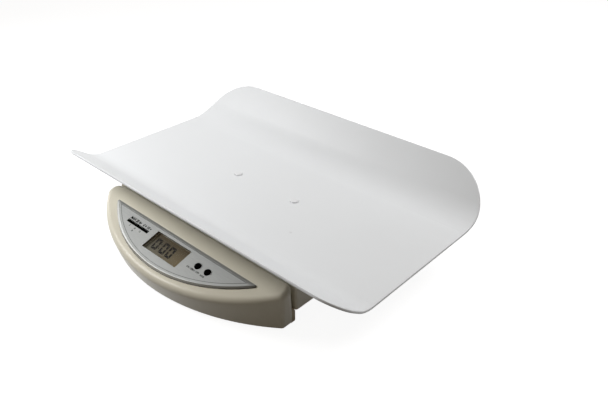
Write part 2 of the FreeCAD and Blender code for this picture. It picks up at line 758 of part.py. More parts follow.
def make_button(x):
    flange_top = shell_under - CLOSE_FIT
    flange_under = flange_top - BUTTON_FLANGE_THICKNESS
    cap = cylinder(x, -BUTTON_DROP, flange_top, BUTTON_PROUD, BUTTON_DIAMETER)
    top_edge = max(cap.Edges, key=lambda edge: edge.BoundBox.ZMin)
    cap = cap.makeFillet(CROWN * BUTTON_PROUD, [top_edge])
    cap = cap.fuse(cylinder(x, -BUTTON_DROP, flange_under, flange_top, BUTTON_FLANGE))
    cap = cap.fuse(cylinder(x, -BUTTON_DROP, plunger_top, flange_under, BUTTON_STEM))
    return on_panel(cap)


# ---- Bottom housing ----

def bay_places():
    """The battery bay's inner walls: left, right, front and back."""
    depth = AA_COUNT * (AA_DIAMETER + AA_GAP) + AA_GAP
    return bay_left, bay_right, middle_y - depth / 2, middle_y + depth / 2


def bay_roof():
    return FOOT_HEIGHT + FLOOR + AA_DIAMETER + 2 * FIT


def base_plate_screw_places():
    edge = BASE_PLATE_BOSS / 2
    across = mirrored(base_plate_half - edge)
    along = (middle_y - BASE_PLATE_DEPTH / 2 + edge, middle_y + BASE_PLATE_DEPTH / 2 - edge)
    return [(x, y) for x in across for y in along]


def cell_screw_places(side):
    """Two screws in line at one end of the load cell: side is -1 in front and 1 behind."""
    first = CELL_LENGTH / 2 - CELL_SCREW_END
    return [(0, middle_y + side * first), (0, middle_y + side * (first - CELL_SCREW_PITCH))]


def foot_places():
    front = [(x, head_back - FRONT_FOOT_SETBACK) for x in mirrored(HEAD_WIDTH / 2 - FRONT_FOOT_INSET)]
    back = [(x, tongue_back - BACK_FOOT_SETBACK) for x in mirrored(tongue_half - BACK_FOOT_INSET)]
    return front + back


def rail_blocks():
    """The two rails that the battery door's edges run in, as solid blocks."""
    left, right, front, back = bay_places()
    return [box(-tongue_half, right + BAY_WALL, y0, y1, FOOT_HEIGHT, FOOT_HEIGHT + RAIL_HEIGHT)
            for y0, y1 in ((front - RAIL_WIDTH, front), (back, back + RAIL_WIDTH))]


def make_apron():
    """The upright strip of the housing behind the head's back wall, with an ear that fills each corner."""
    half = HEAD_WIDTH / 2 - APRON_INSET
    apron = box(-half, half, head_back + CLOSE_FIT, apron_back, FOOT_HEIGHT, skirt_bottom - APRON_DROP)
    low_edges = [edge for edge in apron.Edges
                 if edge.BoundBox.ZMax < FOOT_HEIGHT + 0.1 and edge.BoundBox.YMin > apron_back - 0.1]
    apron = apron.makeFillet(APRON_ROUND, low_edges)
    for left, right in ((-half, EAR_WIDTH - half), (half - EAR_WIDTH, half)):
        apron = apron.fuse(box(left, right, head_back - EAR_DEPTH, head_back + SEAM / 2,
                               FOOT_HEIGHT, FOOT_HEIGHT + EAR_HEIGHT))
    apron = apron.cut(head_walls(-CLOSE_FIT))
    apron = apron.fuse(box(-half, half, head_back - 2 * HEAD_WALL, head_back + HEAD_WALL / 2,
                           FOOT_HEIGHT, cover_bottom))
    half_gate = LEAD_GATE / 2
    return apron.cut(box(-half_gate, half_gate, head_back, apron_back, floor_top, skirt_bottom))


def make_bottom_housing():
    foot = FOOT_HEIGHT
    lower = Part.Face(head_outline(foot, SHADOW_INSET)).extrude(V(0, 0, SHADOW_GAP))
    upper = Part.Face(head_outline(foot, HEAD_WALL + FIT)).extrude(V(0, 0, FLOOR))
    lip = Part.Face(head_outline(foot, HEAD_WALL + FIT)).extrude(V(0, 0, FLOOR + LOCATING_LIP))
    lip = lip.cut(Part.Face(head_outline(foot, HEAD_WALL + FIT + LOCATING_LIP_THICKNESS))
                  .extrude(V(0, 0, FLOOR + LOCATING_LIP)))
    half_gate = LEAD_GATE / 2
    lip = lip.cut(box(-half_gate, half_gate, head_back - LEAD_GATE_DEPTH, head_back, floor_top, BED_HEIGHT))
    housing = lower.fuse([upper, lip, make_apron()])

    half = tongue_half
    wall_top = foot + TONGUE_WALL_HEIGHT
    root = head_back - TONGUE_ROOT
    tongue = rounded_box(-half, half, root, tongue_back, foot, wall_top, TONGUE_CORNER)
    inner = half - HOUSING_WALL
    tongue = tongue.cut(rounded_box(-inner, inner, root, tongue_back - HOUSING_WALL, floor_top, wall_top,
                                    TONGUE_CORNER - HOUSING_WALL))
    tongue = tongue.cut(box(-half, half, root, apron_back - CLOSE_FIT, foot, wall_top))
    housing = housing.fuse(tongue)

    left, right, front, back = bay_places()
    bay = box(-half + HOUSING_WALL / 2, right + BAY_WALL, front - BAY_WALL, back + BAY_WALL,
              foot, bay_roof() + BAY_WALL)
    bosses = [cylinder(x, y, foot, plate_under, BASE_PLATE_BOSS) for x, y in base_plate_screw_places()]
    bosses += [cylinder(x, y, foot, plate_under, CELL_BOSS) for x, y in cell_screw_places(-1)]
    bosses += [cylinder(x, y, foot, screw_seat, POST_DIAMETER + 2 * HOUSING_WALL) for x, y in post_places()]
    housing = housing.fuse([bay] + bosses + rail_blocks())
    waste = [box(left, right, front, back, foot, bay_roof())] + door_path()
    for x, y in base_plate_screw_places():
        waste.append(cylinder(x, y, floor_top, plate_under, BASE_PLATE_SCREW))
    for x, y in cell_screw_places(-1):
        waste.append(cylinder(x, y, foot, plate_under, CELL_SCREW + FIT))
        waste.append(cylinder(x, y, foot, foot + CELL_COUNTERBORE + CELL_SCREW_HEAD_HEIGHT,
                              CELL_SCREW_HEAD + FIT))
    for x, y in post_places():
        waste.append(cylinder(x, y, foot, screw_seat, HOUSING_SCREW + FIT))
        waste.append(cylinder(x, y, foot, foot + HEAD_COUNTERBORE, HOUSING_SCREW_HEAD + FIT))
    for x, y in foot_places():
        waste.append(cylinder(x, y, foot, foot + FOOT_RECESS, FOOT_DIAMETER))
    return housing.cut(waste)


def door_path():
    """The slot for the door's face, the grooves for its edges, and the gap in the side wall."""
    left, right, front, back = bay_places()
    outside = -tongue_half - HOUSING_WALL
    face_top = FOOT_HEIGHT + DOOR_THICKNESS
    groove_top = FOOT_HEIGHT + FLOOR
    slot = box(outside, right, front - DOOR_OVERLAP, back + DOOR_OVERLAP, FOOT_HEIGHT, face_top)
    groove = box(outside, right, front - DOOR_TONGUE, back + DOOR_TONGUE, face_top, face_top + DOOR_GROOVE)
    gate = box(outside, left, front, back, FOOT_HEIGHT, groove_top)
    return [slot, groove, gate]


def make_battery_door():
    left, right, front, back = bay_places()
    outside = -tongue_half - DOOR_LIP - FIT
    face_top = FOOT_HEIGHT + DOOR_THICKNESS
    inner_end = right - FIT
    under, step = FOOT_HEIGHT + CLOSE_FIT, face_top + CLOSE_FIT
    side = DOOR_OVERLAP - FIT
    face = box(outside, inner_end, front - side, back + side, under, step)
    edge = DOOR_TONGUE - FIT
    tongue = box(outside, inner_end, front - edge, back + edge, step, face_top + DOOR_GROOVE - CLOSE_FIT)
    lip = box(outside, outside + DOOR_LIP, front - edge, back + edge, under, FOOT_HEIGHT + DOOR_LIP_HEIGHT)
    outer = [line for line in lip.Edges if line.BoundBox.XMax < outside + 0.1 and line.BoundBox.YLength < 1]
    lip = lip.makeFillet(DOOR_LIP / 2, outer)
    return face.fuse([tongue, lip]).removeSplitter()


def cell_lines():
    """The middle line of each AA cell: its Y and Z."""
    left, right, front, back = bay_places()
    pitch = AA_DIAMETER + AA_GAP
    height = FOOT_HEIGHT + FLOOR + FIT + AA_DIAMETER / 2
    return [(front + AA_GAP + AA_DIAMETER / 2 + number * pitch, height) for number in range(AA_COUNT)]


def make_aa_cell(number):
    """One cell, turned end for end from its neighbour."""
    left, right, front, back = bay_places()
    y, z = cell_lines()[number]
    facing = 1 if number % 2 == 0 else -1
    spring_end = left if facing == 1 else right
    start = V(spring_end + facing * (CONTACT_THICKNESS + SPRING_LENGTH), y, z)
    can = Part.makeCylinder(AA_DIAMETER / 2, AA_LENGTH - AA_TERMINAL_LENGTH, start, V(facing, 0, 0))
    far = start + V(facing * (AA_LENGTH - AA_TERMINAL_LENGTH), 0, 0)
    return can.fuse(Part.makeCylinder(AA_TERMINAL / 2, AA_TERMINAL_LENGTH, far, V(facing, 0, 0)))


def make_contacts(number):
    """A flat contact at a cell's positive end, and a plate with a coil spring at its negative end."""
    left, right, front, back = bay_places()
    y, z = cell_lines()[number]
    half = CONTACT_WIDTH / 2
    left_plate = box(left, left + CONTACT_THICKNESS, y - half, y + half, z - half, z + half)
    right_plate = box(right - CONTACT_THICKNESS, right, y - half, y + half, z - half, z + half)
    facing = 1 if number % 2 == 0 else -1
    plate_x = left + CONTACT_THICKNESS if facing == 1 else right - CONTACT_THICKNESS
    wound = SPRING_LENGTH - SPRING_WIRE
    helix = Part.makeLongHelix(wound / SPRING_TURNS, wound, SPRING_DIAMETER / 2)
    section = Part.Wire(Part.makeCircle(SPRING_WIRE / 2, V(SPRING_DIAMETER / 2, 0, 0), V(0, 1, 0)))
    spring = Part.Wire(helix).makePipeShell([section], True, True)
    spring.rotate(V(0, 0, 0), V(0, 1, 0), facing * 90)
    spring.translate(V(plate_x + facing * SPRING_WIRE / 2, y, z))
    return [left_plate, right_plate, spring]


# ---- Weighing platform ----

def make_platform_cover():
    half = HEAD_WIDTH / 2 + COVER_OVERHANG
    outer = shell_block(half, platform_front, platform_back, skirt_bottom, cover_top, 0)
    inner = shell_block(half, platform_front, platform_back, skirt_bottom, cover_top, COVER_WALL)
    cover = outer.cut(inner)
    seat_half, seat_deep = SEAT_WIDTH / 2, SEAT_DEPTH / 2
    cover = cover.fuse(rounded_box(-seat_half, seat_half, middle_y - seat_deep, middle_y + seat_deep,
                                   cover_top - COVER_WALL / 2, tray_under, SEAT_CORNER))
    for rib_x in RIB_X:
        for x in mirrored(rib_x):
            cover = cover.fuse(box(x - RIB_THICKNESS / 2, x + RIB_THICKNESS / 2,
                                   platform_front + COVER_WALL / 2, platform_back - COVER_WALL / 2,
                                   frame_top - RIB_HEIGHT, frame_top))
    gate = tongue_half + 2 * HOUSING_WALL
    gate_top = FOOT_HEIGHT + TONGUE_WALL_HEIGHT + 3 * PLATFORM_TRAVEL
    cover = cover.cut(box(-gate, gate, platform_front - COVER_WALL, platform_front + 2 * COVER_WALL,
                          0, gate_top))
    for x in mirrored(TRAY_SCREW_X):
        cover = cover.cut(cylinder(x, middle_y, frame_top, tray_under, TRAY_SCREW + FIT))
    for x, y in frame_screw_places():
        cover = cover.cut(cylinder(x, y, frame_top, frame_under + FRAME_SCREW_LENGTH + FIT, FRAME_SCREW))
    return cover


def shell_block(half, front, back, bottom, top, inset):
    """The platform cover's outside, or its inside when drawn in by an inset."""
    block = box(-half + inset, half - inset, front + inset, back - inset, bottom - inset, top - inset)
    behind = [edge for edge in block.Edges if is_upright(edge) and edge.Vertexes[0].Y > middle_y]
    block = block.makeFillet(COVER_CORNER - inset, behind)
    before = [edge for edge in block.Edges if is_upright(edge) and edge.Vertexes[0].Y < middle_y]
    before = [edge for edge in before if edge.Vertexes[0].Y < front + 2 * COVER_WALL]
    block = block.makeFillet(COVER_FRONT_CORNER - inset, before)
    rim = [edge for edge in block.Edges if edge.BoundBox.ZMin > top - inset - 0.01]
    return block.makeFillet(COVER_ROUND - inset, rim)


def frame_screw_places():
    across = mirrored(FRAME_WIDTH / 2 - FRAME_SCREW_INSET)
    along = (middle_y - FRAME_DEPTH / 2 + FRAME_SCREW_INSET, middle_y + FRAME_DEPTH / 2 - FRAME_SCREW_INSET)
    return [(x, y) for x in across for y in along]


def make_platform_frame():
    half, deep = FRAME_WIDTH / 2, FRAME_DEPTH / 2
    frame = rounded_box(-half, half, middle_y - deep, middle_y + deep, frame_under, frame_top, FRAME_CORNER)
    holes = [cylinder(x, middle_y, frame_under, frame_top, TRAY_SCREW + FIT) for x in mirrored(TRAY_SCREW_X)]
    holes += [cylinder(x, y, frame_under, frame_top, FRAME_SCREW + FIT) for x, y in frame_screw_places()]
    for x, y in cell_screw_places(1):
        holes.append(cylinder(x, y, frame_under, frame_top, CELL_SCREW + FIT))
        holes.append(cone(x, y, frame_top - CELL_SCREW_HEAD_HEIGHT, frame_top,
                          CELL_SCREW + FIT, CELL_SCREW_HEAD + FIT))
    return frame.cut(holes)


def make_frame_screw(x, y):
    head = cylinder(x, y, frame_under - PAN_HEAD_HEIGHT, frame_under, PAN_HEAD)
    return head.fuse(cylinder(x, y, frame_under, frame_under + FRAME_SCREW_LENGTH, FRAME_SCREW))


# ---- Load cell and what it stands on ----

def cell_bar(z0, z1, y0, y1):
    return box(-CELL_WIDTH / 2, CELL_WIDTH / 2, y0, y1, z0, z1)


def make_load_cell():
    half = CELL_LENGTH / 2
    bar = cell_bar(cell_under, cell_top, middle_y - half, middle_y + half)
    height = (cell_under + cell_top) / 2
    side = V(-CELL_WIDTH / 2, middle_y, height)
    for step in mirrored(CELL_BORE_SPACING / 2):
        bar = bar.cut(Part.makeCylinder(CELL_BORE / 2, CELL_WIDTH, side + V(0, step, 0), V(1, 0, 0)))
    bar = bar.cut(cell_bar(height - CELL_SLOT / 2, height + CELL_SLOT / 2,
                           middle_y - CELL_BORE_SPACING / 2, middle_y + CELL_BORE_SPACING / 2))
    thread = CELL_SCREW + 2 * BORE_FIT
    for x, y in cell_screw_places(1):
        bar = bar.cut(cylinder(x, y, cell_top - CELL_SCREW_ENGAGEMENT, cell_top, thread))
    for x, y in cell_screw_places(-1):
        bar = bar.cut(cylinder(x, y, cell_under, cell_under + CELL_SCREW_ENGAGEMENT, thread))
    return bar


def make_sealant(z0, z1):
    half, deep = SEALANT_WIDTH / 2, SEALANT_LENGTH / 2
    return rounded_box(-half, half, middle_y - deep, middle_y + deep, z0, z1, SEALANT_CORNER)


def make_spacer(z0, side):
    """An aluminium block between the load cell's end and the plate that it is bolted to."""
    outer = middle_y + side * CELL_LENGTH / 2
    inner = outer - side * SPACER_LENGTH
    block = cell_bar(z0, z0 + SPACER_HEIGHT, min(outer, inner), max(outer, inner))
    holes = [cylinder(x, y, z0, z0 + SPACER_HEIGHT, CELL_SCREW + FIT) for x, y in cell_screw_places(side)]
    return block.cut(holes)


def make_upper_cell_screw(x, y):
    head_under = frame_top - CELL_SCREW_HEAD_HEIGHT
    tip = cell_top - CELL_SCREW_ENGAGEMENT + 2 * FIT
    head = cone(x, y, head_under, frame_top, CELL_SCREW, CELL_SCREW_HEAD)
    return head.fuse(cylinder(x, y, tip, head_under, CELL_SCREW))


def make_lower_cell_screw(x, y):
    head_top = FOOT_HEIGHT + CELL_COUNTERBORE + CELL_SCREW_HEAD_HEIGHT
    tip = cell_under + CELL_SCREW_ENGAGEMENT - 2 * FIT
    head_under = head_top - CELL_SCREW_HEAD_HEIGHT
    socket = hexagon(x, y, head_under, head_top - CELL_SCREW_HEAD_HEIGHT / 3, CELL_SCREW_KEY)
    head = cylinder(x, y, head_under, head_top, CELL_SCREW_HEAD)
    return head.fuse(cylinder(x, y, head_top, tip, CELL_SCREW)).cut(socket)


def stop_places():
    along = (middle_y - STOP_SPACING / 2, middle_y + STOP_SPACING / 2)
    return [(x, y) for x in mirrored(base_plate_half - STOP_INSET) for y in along]


def make_base_plate():
    half, deep = base_plate_half, BASE_PLATE_DEPTH / 2
    plate = rounded_box(-half, half, middle_y - deep, middle_y + deep, plate_under, plate_top,
                        BASE_PLATE_BOSS / 2)
    fixings = [(base_plate_screw_places(), BASE_PLATE_SCREW + FIT),
               (cell_screw_places(-1), CELL_SCREW + FIT),
               (stop_places(), STOP_DIAMETER + 2 * BORE_FIT)]
    for places, diameter in fixings:
        plate = plate.cut([cylinder(x, y, plate_under, plate_top, diameter) for x, y in places])
    return plate


def make_base_plate_screw(x, y):
    head = cylinder(x, y, plate_top, plate_top + PAN_HEAD_HEIGHT, PAN_HEAD)
    return head.fuse(cylinder(x, y, plate_top - BASE_PLATE_SCREW_LENGTH, plate_top, BASE_PLATE_SCREW))


def make_stop(x, y):
    """An overload stop: a stud in the base plate that ends just under the platform frame."""
    top = frame_under - PLATFORM_TRAVEL - STOP_SPARE
    stud = cylinder(x, y, plate_under, top, STOP_DIAMETER)
    return stud.fuse(hexagon(x, y, plate_top, plate_top + STOP_HEX_HEIGHT, STOP_HEX))


def make_housing_screw(x, y):
    head_top = FOOT_HEIGHT + HEAD_COUNTERBORE
    head = cylinder(x, y, head_top - HOUSING_SCREW_HEAD_HEIGHT, head_top, HOUSING_SCREW_HEAD)
    tip = screw_seat + HOUSING_SCREW_LENGTH - 2 * FIT
    return head.fuse(cylinder(x, y, head_top, tip, HOUSING_SCREW))


def make_foot(x, y):
    pad = cylinder(x, y, 0, FOOT_HEIGHT + FOOT_RECESS, FOOT_DIAMETER)
    ground_edge = min(pad.Edges, key=lambda edge: edge.BoundBox.ZMax)
    return pad.makeFillet(FOOT_HEIGHT / 3, [ground_edge])


# ---- Leads ----

def make_lead(points, diameter):
    """A lead through a list of points, straight between them and bent in tangent arcs at each."""
    bend_share = 0.45
    edges = []
    start = points[0]
    for before, corner, after in zip(points, points[1:], points[2:]):
        arriving, leaving = (corner - before), (after - corner)
        shorter = min(arriving.Length, leaving.Length)
        turn = arriving.getAngle(leaving)
        cut = bend_share * shorter
        radius = cut / math.tan(turn / 2)
        into, out = arriving.normalize(), leaving.normalize()
        bend_start, bend_end = corner - into * cut, corner + out * cut
        towards = (out - into).normalize()
        centre = corner + towards * (radius / math.cos(turn / 2))
        middle = centre - towards * radius
        edges.append(Part.LineSegment(start, bend_start).toShape())
        edges.append(Part.Arc(bend_start, middle, bend_end).toShape())
        start = bend_end
    edges.append(Part.LineSegment(start, points[-1]).toShape())
    path = Part.Wire(edges)
    section = Part.Wire(Part.makeCircle(diameter / 2, points[0], points[1] - points[0]))
    return path.makePipeShell([section], True, False)


def under_socket(socket, distance):
    """A point square below a lead socket of the board, and at its mouth where the distance is 0."""
    marker = on_panel(Part.Vertex(SOCKET_X[socket], SOCKET_Y, board_back - SOCKET_HEIGHT - distance))
    return marker.Vertexes[0].Point


def make_cell_lead():
    """Out of the load cell's front end, down to the floor, and forward into the head."""
    front = middle_y - CELL_LENGTH / 2
    height = (cell_under + cell_top) / 2
    end = under_socket(1, 0)
    lead_height = floor_top + CELL_LEAD
    points = [
        V(0, front, height),
        V(0, front - LEAD_RUN, height),
        V(0, front - 2 * LEAD_RUN, height - LEAD_DROP),
        V(end.x / 2, front - 3 * LEAD_RUN, lead_height),
        V(end.x, head_back - LEAD_RUN / 4, lead_height),
        V(end.x, end.y + LEAD_RUN, lead_height + LEAD_LIFT),
        under_socket(1, SOCKET_APPROACH),
        end,
    ]
    return make_lead(points, CELL_LEAD)


def make_battery_lead():
    """Out of the battery bay, past the base plate's corner, and forward into the head."""
    left, right, front, back = bay_places()
    end = under_socket(0, 0)
    lead_height = floor_top + BATTERY_LEAD
    wall = right + BAY_WALL
    exit_height = bay_roof() - AA_DIAMETER / 2
    base_front = middle_y - BASE_PLATE_DEPTH / 2
    gate_x = LEAD_EXIT - LEAD_GATE / 2
    points = [
        V(wall, front + LEAD_EXIT, exit_height),
        V(wall + LEAD_EXIT, front + LEAD_EXIT, exit_height),
        V(wall + LEAD_EXIT, front - LEAD_RUN, lead_height + LEAD_LIFT),
        V(wall + LEAD_RUN, base_front - LEAD_RUN, lead_height),
        V(gate_x, head_back + LEAD_RUN, lead_height),
        V(gate_x, head_back - LEAD_RUN / 4, lead_height),
        V(end.x, end.y + LEAD_RUN, lead_height + LEAD_LIFT),
        under_socket(0, SOCKET_APPROACH),
        end,
    ]
    return make_lead(points, BATTERY_LEAD)


os.makedirs("parts", exist_ok=True)
tray_screw_xs = mirrored(TRAY_SCREW_X)

write("tray", make_tray())
write("tray_screws", *[make_tray_screw(x) for x in tray_screw_xs])
write("tray_nuts", *[make_tray_nut(x) for x in tray_screw_xs])
write("tray_screw_caps", *[make_cap(x) for x in tray_screw_xs])
write("platform_cover", make_platform_cover())
write("platform_frame", make_platform_frame())
write("frame_screws", *[make_frame_screw(x, y) for x, y in frame_screw_places()])
write("upper_spacer", make_spacer(cell_top, 1))
write("upper_cell_screws", *[make_upper_cell_screw(x, y) for x, y in cell_screw_places(1)])

write("head_cover", make_head_cover())
write("faceplate", make_faceplate())
write("faceplate_overlay", make_overlay())
write("display_lens", make_lens())
write("lcd_glass", make_glass())
write("lcd_frame", make_lcd_frame())
write("connector_strips", *[make_connector_strip(side) for side in (-1, 1)])
write("main_board", make_board())
write("board_components", *make_board_components())
write("board_screws", *[make_board_screw(x, y) for x, y in board_screw_places()])
write("tact_switches", *[make_switch(x) for x in BUTTON_X])
for name, x in zip(("power", "hold"), BUTTON_X):
    write(name + "_button", make_button(x))
    write(name + "_plunger", make_plunger(x))

write("bottom_housing", make_bottom_housing())
write("housing_screws", *[make_housing_screw(x, y) for x, y in post_places()])
write("rubber_feet", *[make_foot(x, y) for x, y in foot_places()])
write("base_plate", make_base_plate())
write("base_plate_screws", *[make_base_plate_screw(x, y) for x, y in base_plate_screw_places()])
write("overload_stops", *[make_stop(x, y) for x, y in stop_places()])
write("lower_spacer", make_spacer(plate_top, -1))
write("lower_cell_screws", *[make_lower_cell_screw(x, y) for x, y in cell_screw_places(-1)])
write("load_cell", make_load_cell())
write("gauge_sealant", make_sealant(cell_top, cell_top + SEALANT_THICKNESS),
      make_sealant(cell_under - SEALANT_THICKNESS, cell_under))

write("battery_door", make_battery_door())
write("battery_cells", *[make_aa_cell(number) for number in range(AA_COUNT)])
write("battery_contacts", *[piece for number in range(AA_COUNT) for piece in make_contacts(number)])
write("load_cell_lead", make_cell_lead())
write("battery_lead", make_battery_lead())
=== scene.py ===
import bmesh
import bpy
import math
from mathutils import Matrix, Vector
from mathutils.geometry import convex_hull_2d


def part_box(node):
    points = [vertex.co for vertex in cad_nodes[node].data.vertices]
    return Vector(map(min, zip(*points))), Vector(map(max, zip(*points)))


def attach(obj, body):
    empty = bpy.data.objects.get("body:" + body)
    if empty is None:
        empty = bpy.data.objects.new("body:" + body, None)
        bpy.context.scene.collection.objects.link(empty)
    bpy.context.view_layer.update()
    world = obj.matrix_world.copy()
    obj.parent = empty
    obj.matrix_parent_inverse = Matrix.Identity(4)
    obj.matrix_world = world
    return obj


# A digital baby weighing scale: a dished tray on a load cell, with the display head in front.
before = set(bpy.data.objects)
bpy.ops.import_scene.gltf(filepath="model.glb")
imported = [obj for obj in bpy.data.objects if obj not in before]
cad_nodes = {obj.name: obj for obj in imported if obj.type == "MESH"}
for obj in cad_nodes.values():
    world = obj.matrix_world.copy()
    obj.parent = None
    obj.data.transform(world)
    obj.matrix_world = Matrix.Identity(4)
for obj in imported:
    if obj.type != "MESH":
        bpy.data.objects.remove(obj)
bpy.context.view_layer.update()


# ---- Camera, floor and light ----
# The scale stands on a seamless pale floor, as in a studio. A softbox hangs in front of it at the left
# and a larger one behind, a weak one stands low at its left end, and the room gives a little light too.

CAMERA_PLACE = (0.58307, -0.51724, 0.52288)
CAMERA_YAW, CAMERA_PITCH, CAMERA_ROLL = 43.086, 31.468, 0.296
CAMERA_LENS = 36.539

camera_data = bpy.data.cameras.new("camera")
camera_data.lens = CAMERA_LENS
camera = bpy.data.objects.new("camera", camera_data)
camera.matrix_world = (Matrix.Translation(CAMERA_PLACE)
                       @ Matrix.Rotation(math.radians(CAMERA_YAW), 4, "Z")
                       @ Matrix.Rotation(math.radians(90 - CAMERA_PITCH), 4, "X")
                       @ Matrix.Rotation(math.radians(-CAMERA_ROLL), 4, "Z"))
bpy.context.scene.collection.objects.link(camera)
bpy.context.scene.camera = camera
bpy.context.scene.view_settings.view_transform = "Standard"


def linear(code):
    """A colour written as sRGB hex, in the linear values that the shaders take."""
    shares = [int(code[place:place + 2], 16) / 255 for place in (1, 3, 5)]
    return [share / 12.92 if share <= 0.04045 else ((share + 0.055) / 1.055) ** 2.4
            for share in shares] + [1.0]


def add_node(owner, kind, inputs=None, **settings):
    """Adds a node to a material or the world, with its settings and what feeds its sockets."""
    new = owner.node_tree.nodes.new("ShaderNode" + kind)
    for name, value in settings.items():
        setattr(new, name, value)
    for socket, value in (inputs or {}).items():
        if isinstance(value, bpy.types.NodeSocket):
            owner.node_tree.links.new(value, new.inputs[socket])
        else:
            new.inputs[socket].default_value = value
    return new


def blank(name):
    """A material with an empty node tree."""
    material = bpy.data.materials.new(name)
    material.use_nodes = True
    material.node_tree.nodes.clear()
    return material


def add_piece(name, mesh, material, body):
    """Puts a new mesh in the scene as a piece of the scale that moves with a body."""
    piece = bpy.data.objects.new(name, mesh)
    bpy.context.scene.collection.objects.link(piece)
    mesh.materials.append(material)
    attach(piece, body)


# A Mix node's colour sockets share their names with its other ones, so they go by number
TONE_A, TONE_B, TONE = 6, 7, 2

FLOOR_SIZE = 16.0
FLOOR_GLOW = 0.92
PAPER_MOTTLE_MM = 333.0

floor_mesh = bpy.data.meshes.new("floor")
floor_half = FLOOR_SIZE / 2
floor_mesh.from_pydata([(-floor_half, -floor_half, 0), (floor_half, -floor_half, 0),
                        (floor_half, floor_half, 0), (-floor_half, floor_half, 0)], [], [(0, 1, 2, 3)])
floor = bpy.data.objects.new("floor", floor_mesh)
bpy.context.scene.collection.objects.link(floor)

# Matt white paper: what shows of it is white, and it throws little light up at the scale
floor_paper = blank("floor_paper")
paper_mottle = add_node(floor_paper, "TexNoise", {"Scale": 1000 / PAPER_MOTTLE_MM, "Detail": 2.0})
paper_tone = add_node(floor_paper, "Mix", {"Factor": paper_mottle.outputs["Fac"],
                                           TONE_A: linear("#848485"),
                                           TONE_B: linear("#888889")}, data_type="RGBA")
paper_matt = add_node(floor_paper, "BsdfDiffuse", {"Color": paper_tone.outputs[TONE]})
paper_white = add_node(floor_paper, "Emission", {"Color": linear("#ffffff"), "Strength": FLOOR_GLOW})
paper_ray = add_node(floor_paper, "LightPath")
paper_sum = add_node(floor_paper, "Math", {0: paper_ray.outputs["Is Camera Ray"],
                                           1: paper_ray.outputs["Is Glossy Ray"]}, operation="ADD")
paper_shows = add_node(floor_paper, "Math", {0: paper_sum.outputs[0],
                                             1: paper_ray.outputs["Is Transmission Ray"]},
                       operation="ADD", use_clamp=True)
paper_seen = add_node(floor_paper, "AddShader", {0: paper_matt.outputs[0], 1: paper_white.outputs[0]})
paper = add_node(floor_paper, "MixShader", {0: paper_shows.outputs[0], 1: paper_matt.outputs[0],
                                            2: paper_seen.outputs[0]})
add_node(floor_paper, "OutputMaterial", {"Surface": paper.outputs[0]})
floor_mesh.materials.append(floor_paper)

# The room is white where it shows, and the light that it gives is weak and a little warm
ROOM_LIGHT = 0.125

room = bpy.data.worlds.new("room")
room.use_nodes = True
room.node_tree.nodes.clear()
room_ray = add_node(room, "LightPath")
room_sum = add_node(room, "Math", {0: room_ray.outputs["Is Camera Ray"],
                                   1: room_ray.outputs["Is Glossy Ray"]}, operation="ADD")
room_shows = add_node(room, "Math", {0: room_sum.outputs[0], 1: room_ray.outputs["Is Transmission Ray"]},
                      operation="ADD", use_clamp=True)
room_walls = add_node(room, "Background", {"Color": linear("#ffe8c9"), "Strength": ROOM_LIGHT})
room_white = add_node(room, "Background", {"Color": linear("#ffffff"), "Strength": 1.0})
room_mix = add_node(room, "MixShader", {0: room_shows.outputs[0], 1: room_walls.outputs[0],
                                        2: room_white.outputs[0]})
add_node(room, "OutputWorld", {"Surface": room_mix.outputs[0]})
bpy.context.scene.world = room

# Each round softbox: where it stands in metres, its power in watts and how wide it is in metres
SOFTBOXES = (("key_softbox", (-0.68, -0.46, 0.64), 7.6, 0.45),
             ("side_softbox", (-1.4, -0.2, 0.2), 1.2, 0.5),
             ("back_softbox", (0.55, 0.9, 1.25), 16.0, 0.9))
LIT_POINT = Vector((0, 0, 0.05))

for name, place, power, width in SOFTBOXES:
    softbox_data = bpy.data.lights.new(name, "AREA")
    softbox_data.shape = "DISK"
    softbox_data.size = width
    softbox_data.energy = power
    softbox = bpy.data.objects.new(name, softbox_data)
    softbox.location = place
    softbox.rotation_mode = "QUATERNION"
    softbox.rotation_quaternion = (Vector(place) - LIT_POINT).to_track_quat("Z", "Y")
    bpy.context.scene.collection.objects.link(softbox)


# ---- Bottom housing and battery door ----
# One injection-moulded ABS tray closes the head from below and runs back under the platform. The
# moulding is spark-eroded to a fine even grain, which keeps its gloss down.

DRIFT_MM = 111.0
GRAIN_STRENGTH = 0.35
# How far the grain takes the roughness down and up
SMOOTHER, ROUGHER = 0.05, 0.06
PLASTIC_IOR = 1.53


def wear(material, *names):
    """Gives the solids of those names a finish."""
    for name in names:
        for place in cad_nodes[name].material_slots:
            place.material = material


def moulded(name, colour, shaded, roughness, grain_mm, depth_mm, shine=0.5):
    """A moulded plastic: a faint drift of colour, and a grain that breaks up the gloss.

    The grain is drawn coarser than the mould's own, so that it shows.
    """
    material = blank(name)
    where = add_node(material, "TexCoord")
    drift = add_node(material, "TexNoise", {"Vector": where.outputs["Object"], "Scale": 1000 / DRIFT_MM,
                                            "Detail": 3.0})
    tone = add_node(material, "Mix", {"Factor": drift.outputs["Fac"], TONE_A: linear(colour),
                                      TONE_B: linear(shaded)}, data_type="RGBA")
    grain = add_node(material, "TexNoise", {"Vector": where.outputs["Object"], "Scale": 1000 / grain_mm,
                                            "Detail": 4.0, "Roughness": 0.6})
    dullness = add_node(material, "MapRange", {"Value": grain.outputs["Fac"],
                                               "To Min": roughness - SMOOTHER,
                                               "To Max": roughness + ROUGHER})
    relief = add_node(material, "Bump", {"Height": grain.outputs["Fac"], "Strength": GRAIN_STRENGTH,
                                         "Distance": depth_mm / 1000})
    skin = add_node(material, "BsdfPrincipled", {"Base Color": tone.outputs[TONE],
                                                 "Roughness": dullness.outputs[0],
                                                 "Normal": relief.outputs[0], "IOR": PLASTIC_IOR,
                                                 "Specular IOR Level": shine})
    add_node(material, "OutputMaterial", {"Surface": skin.outputs[0]})
    return material


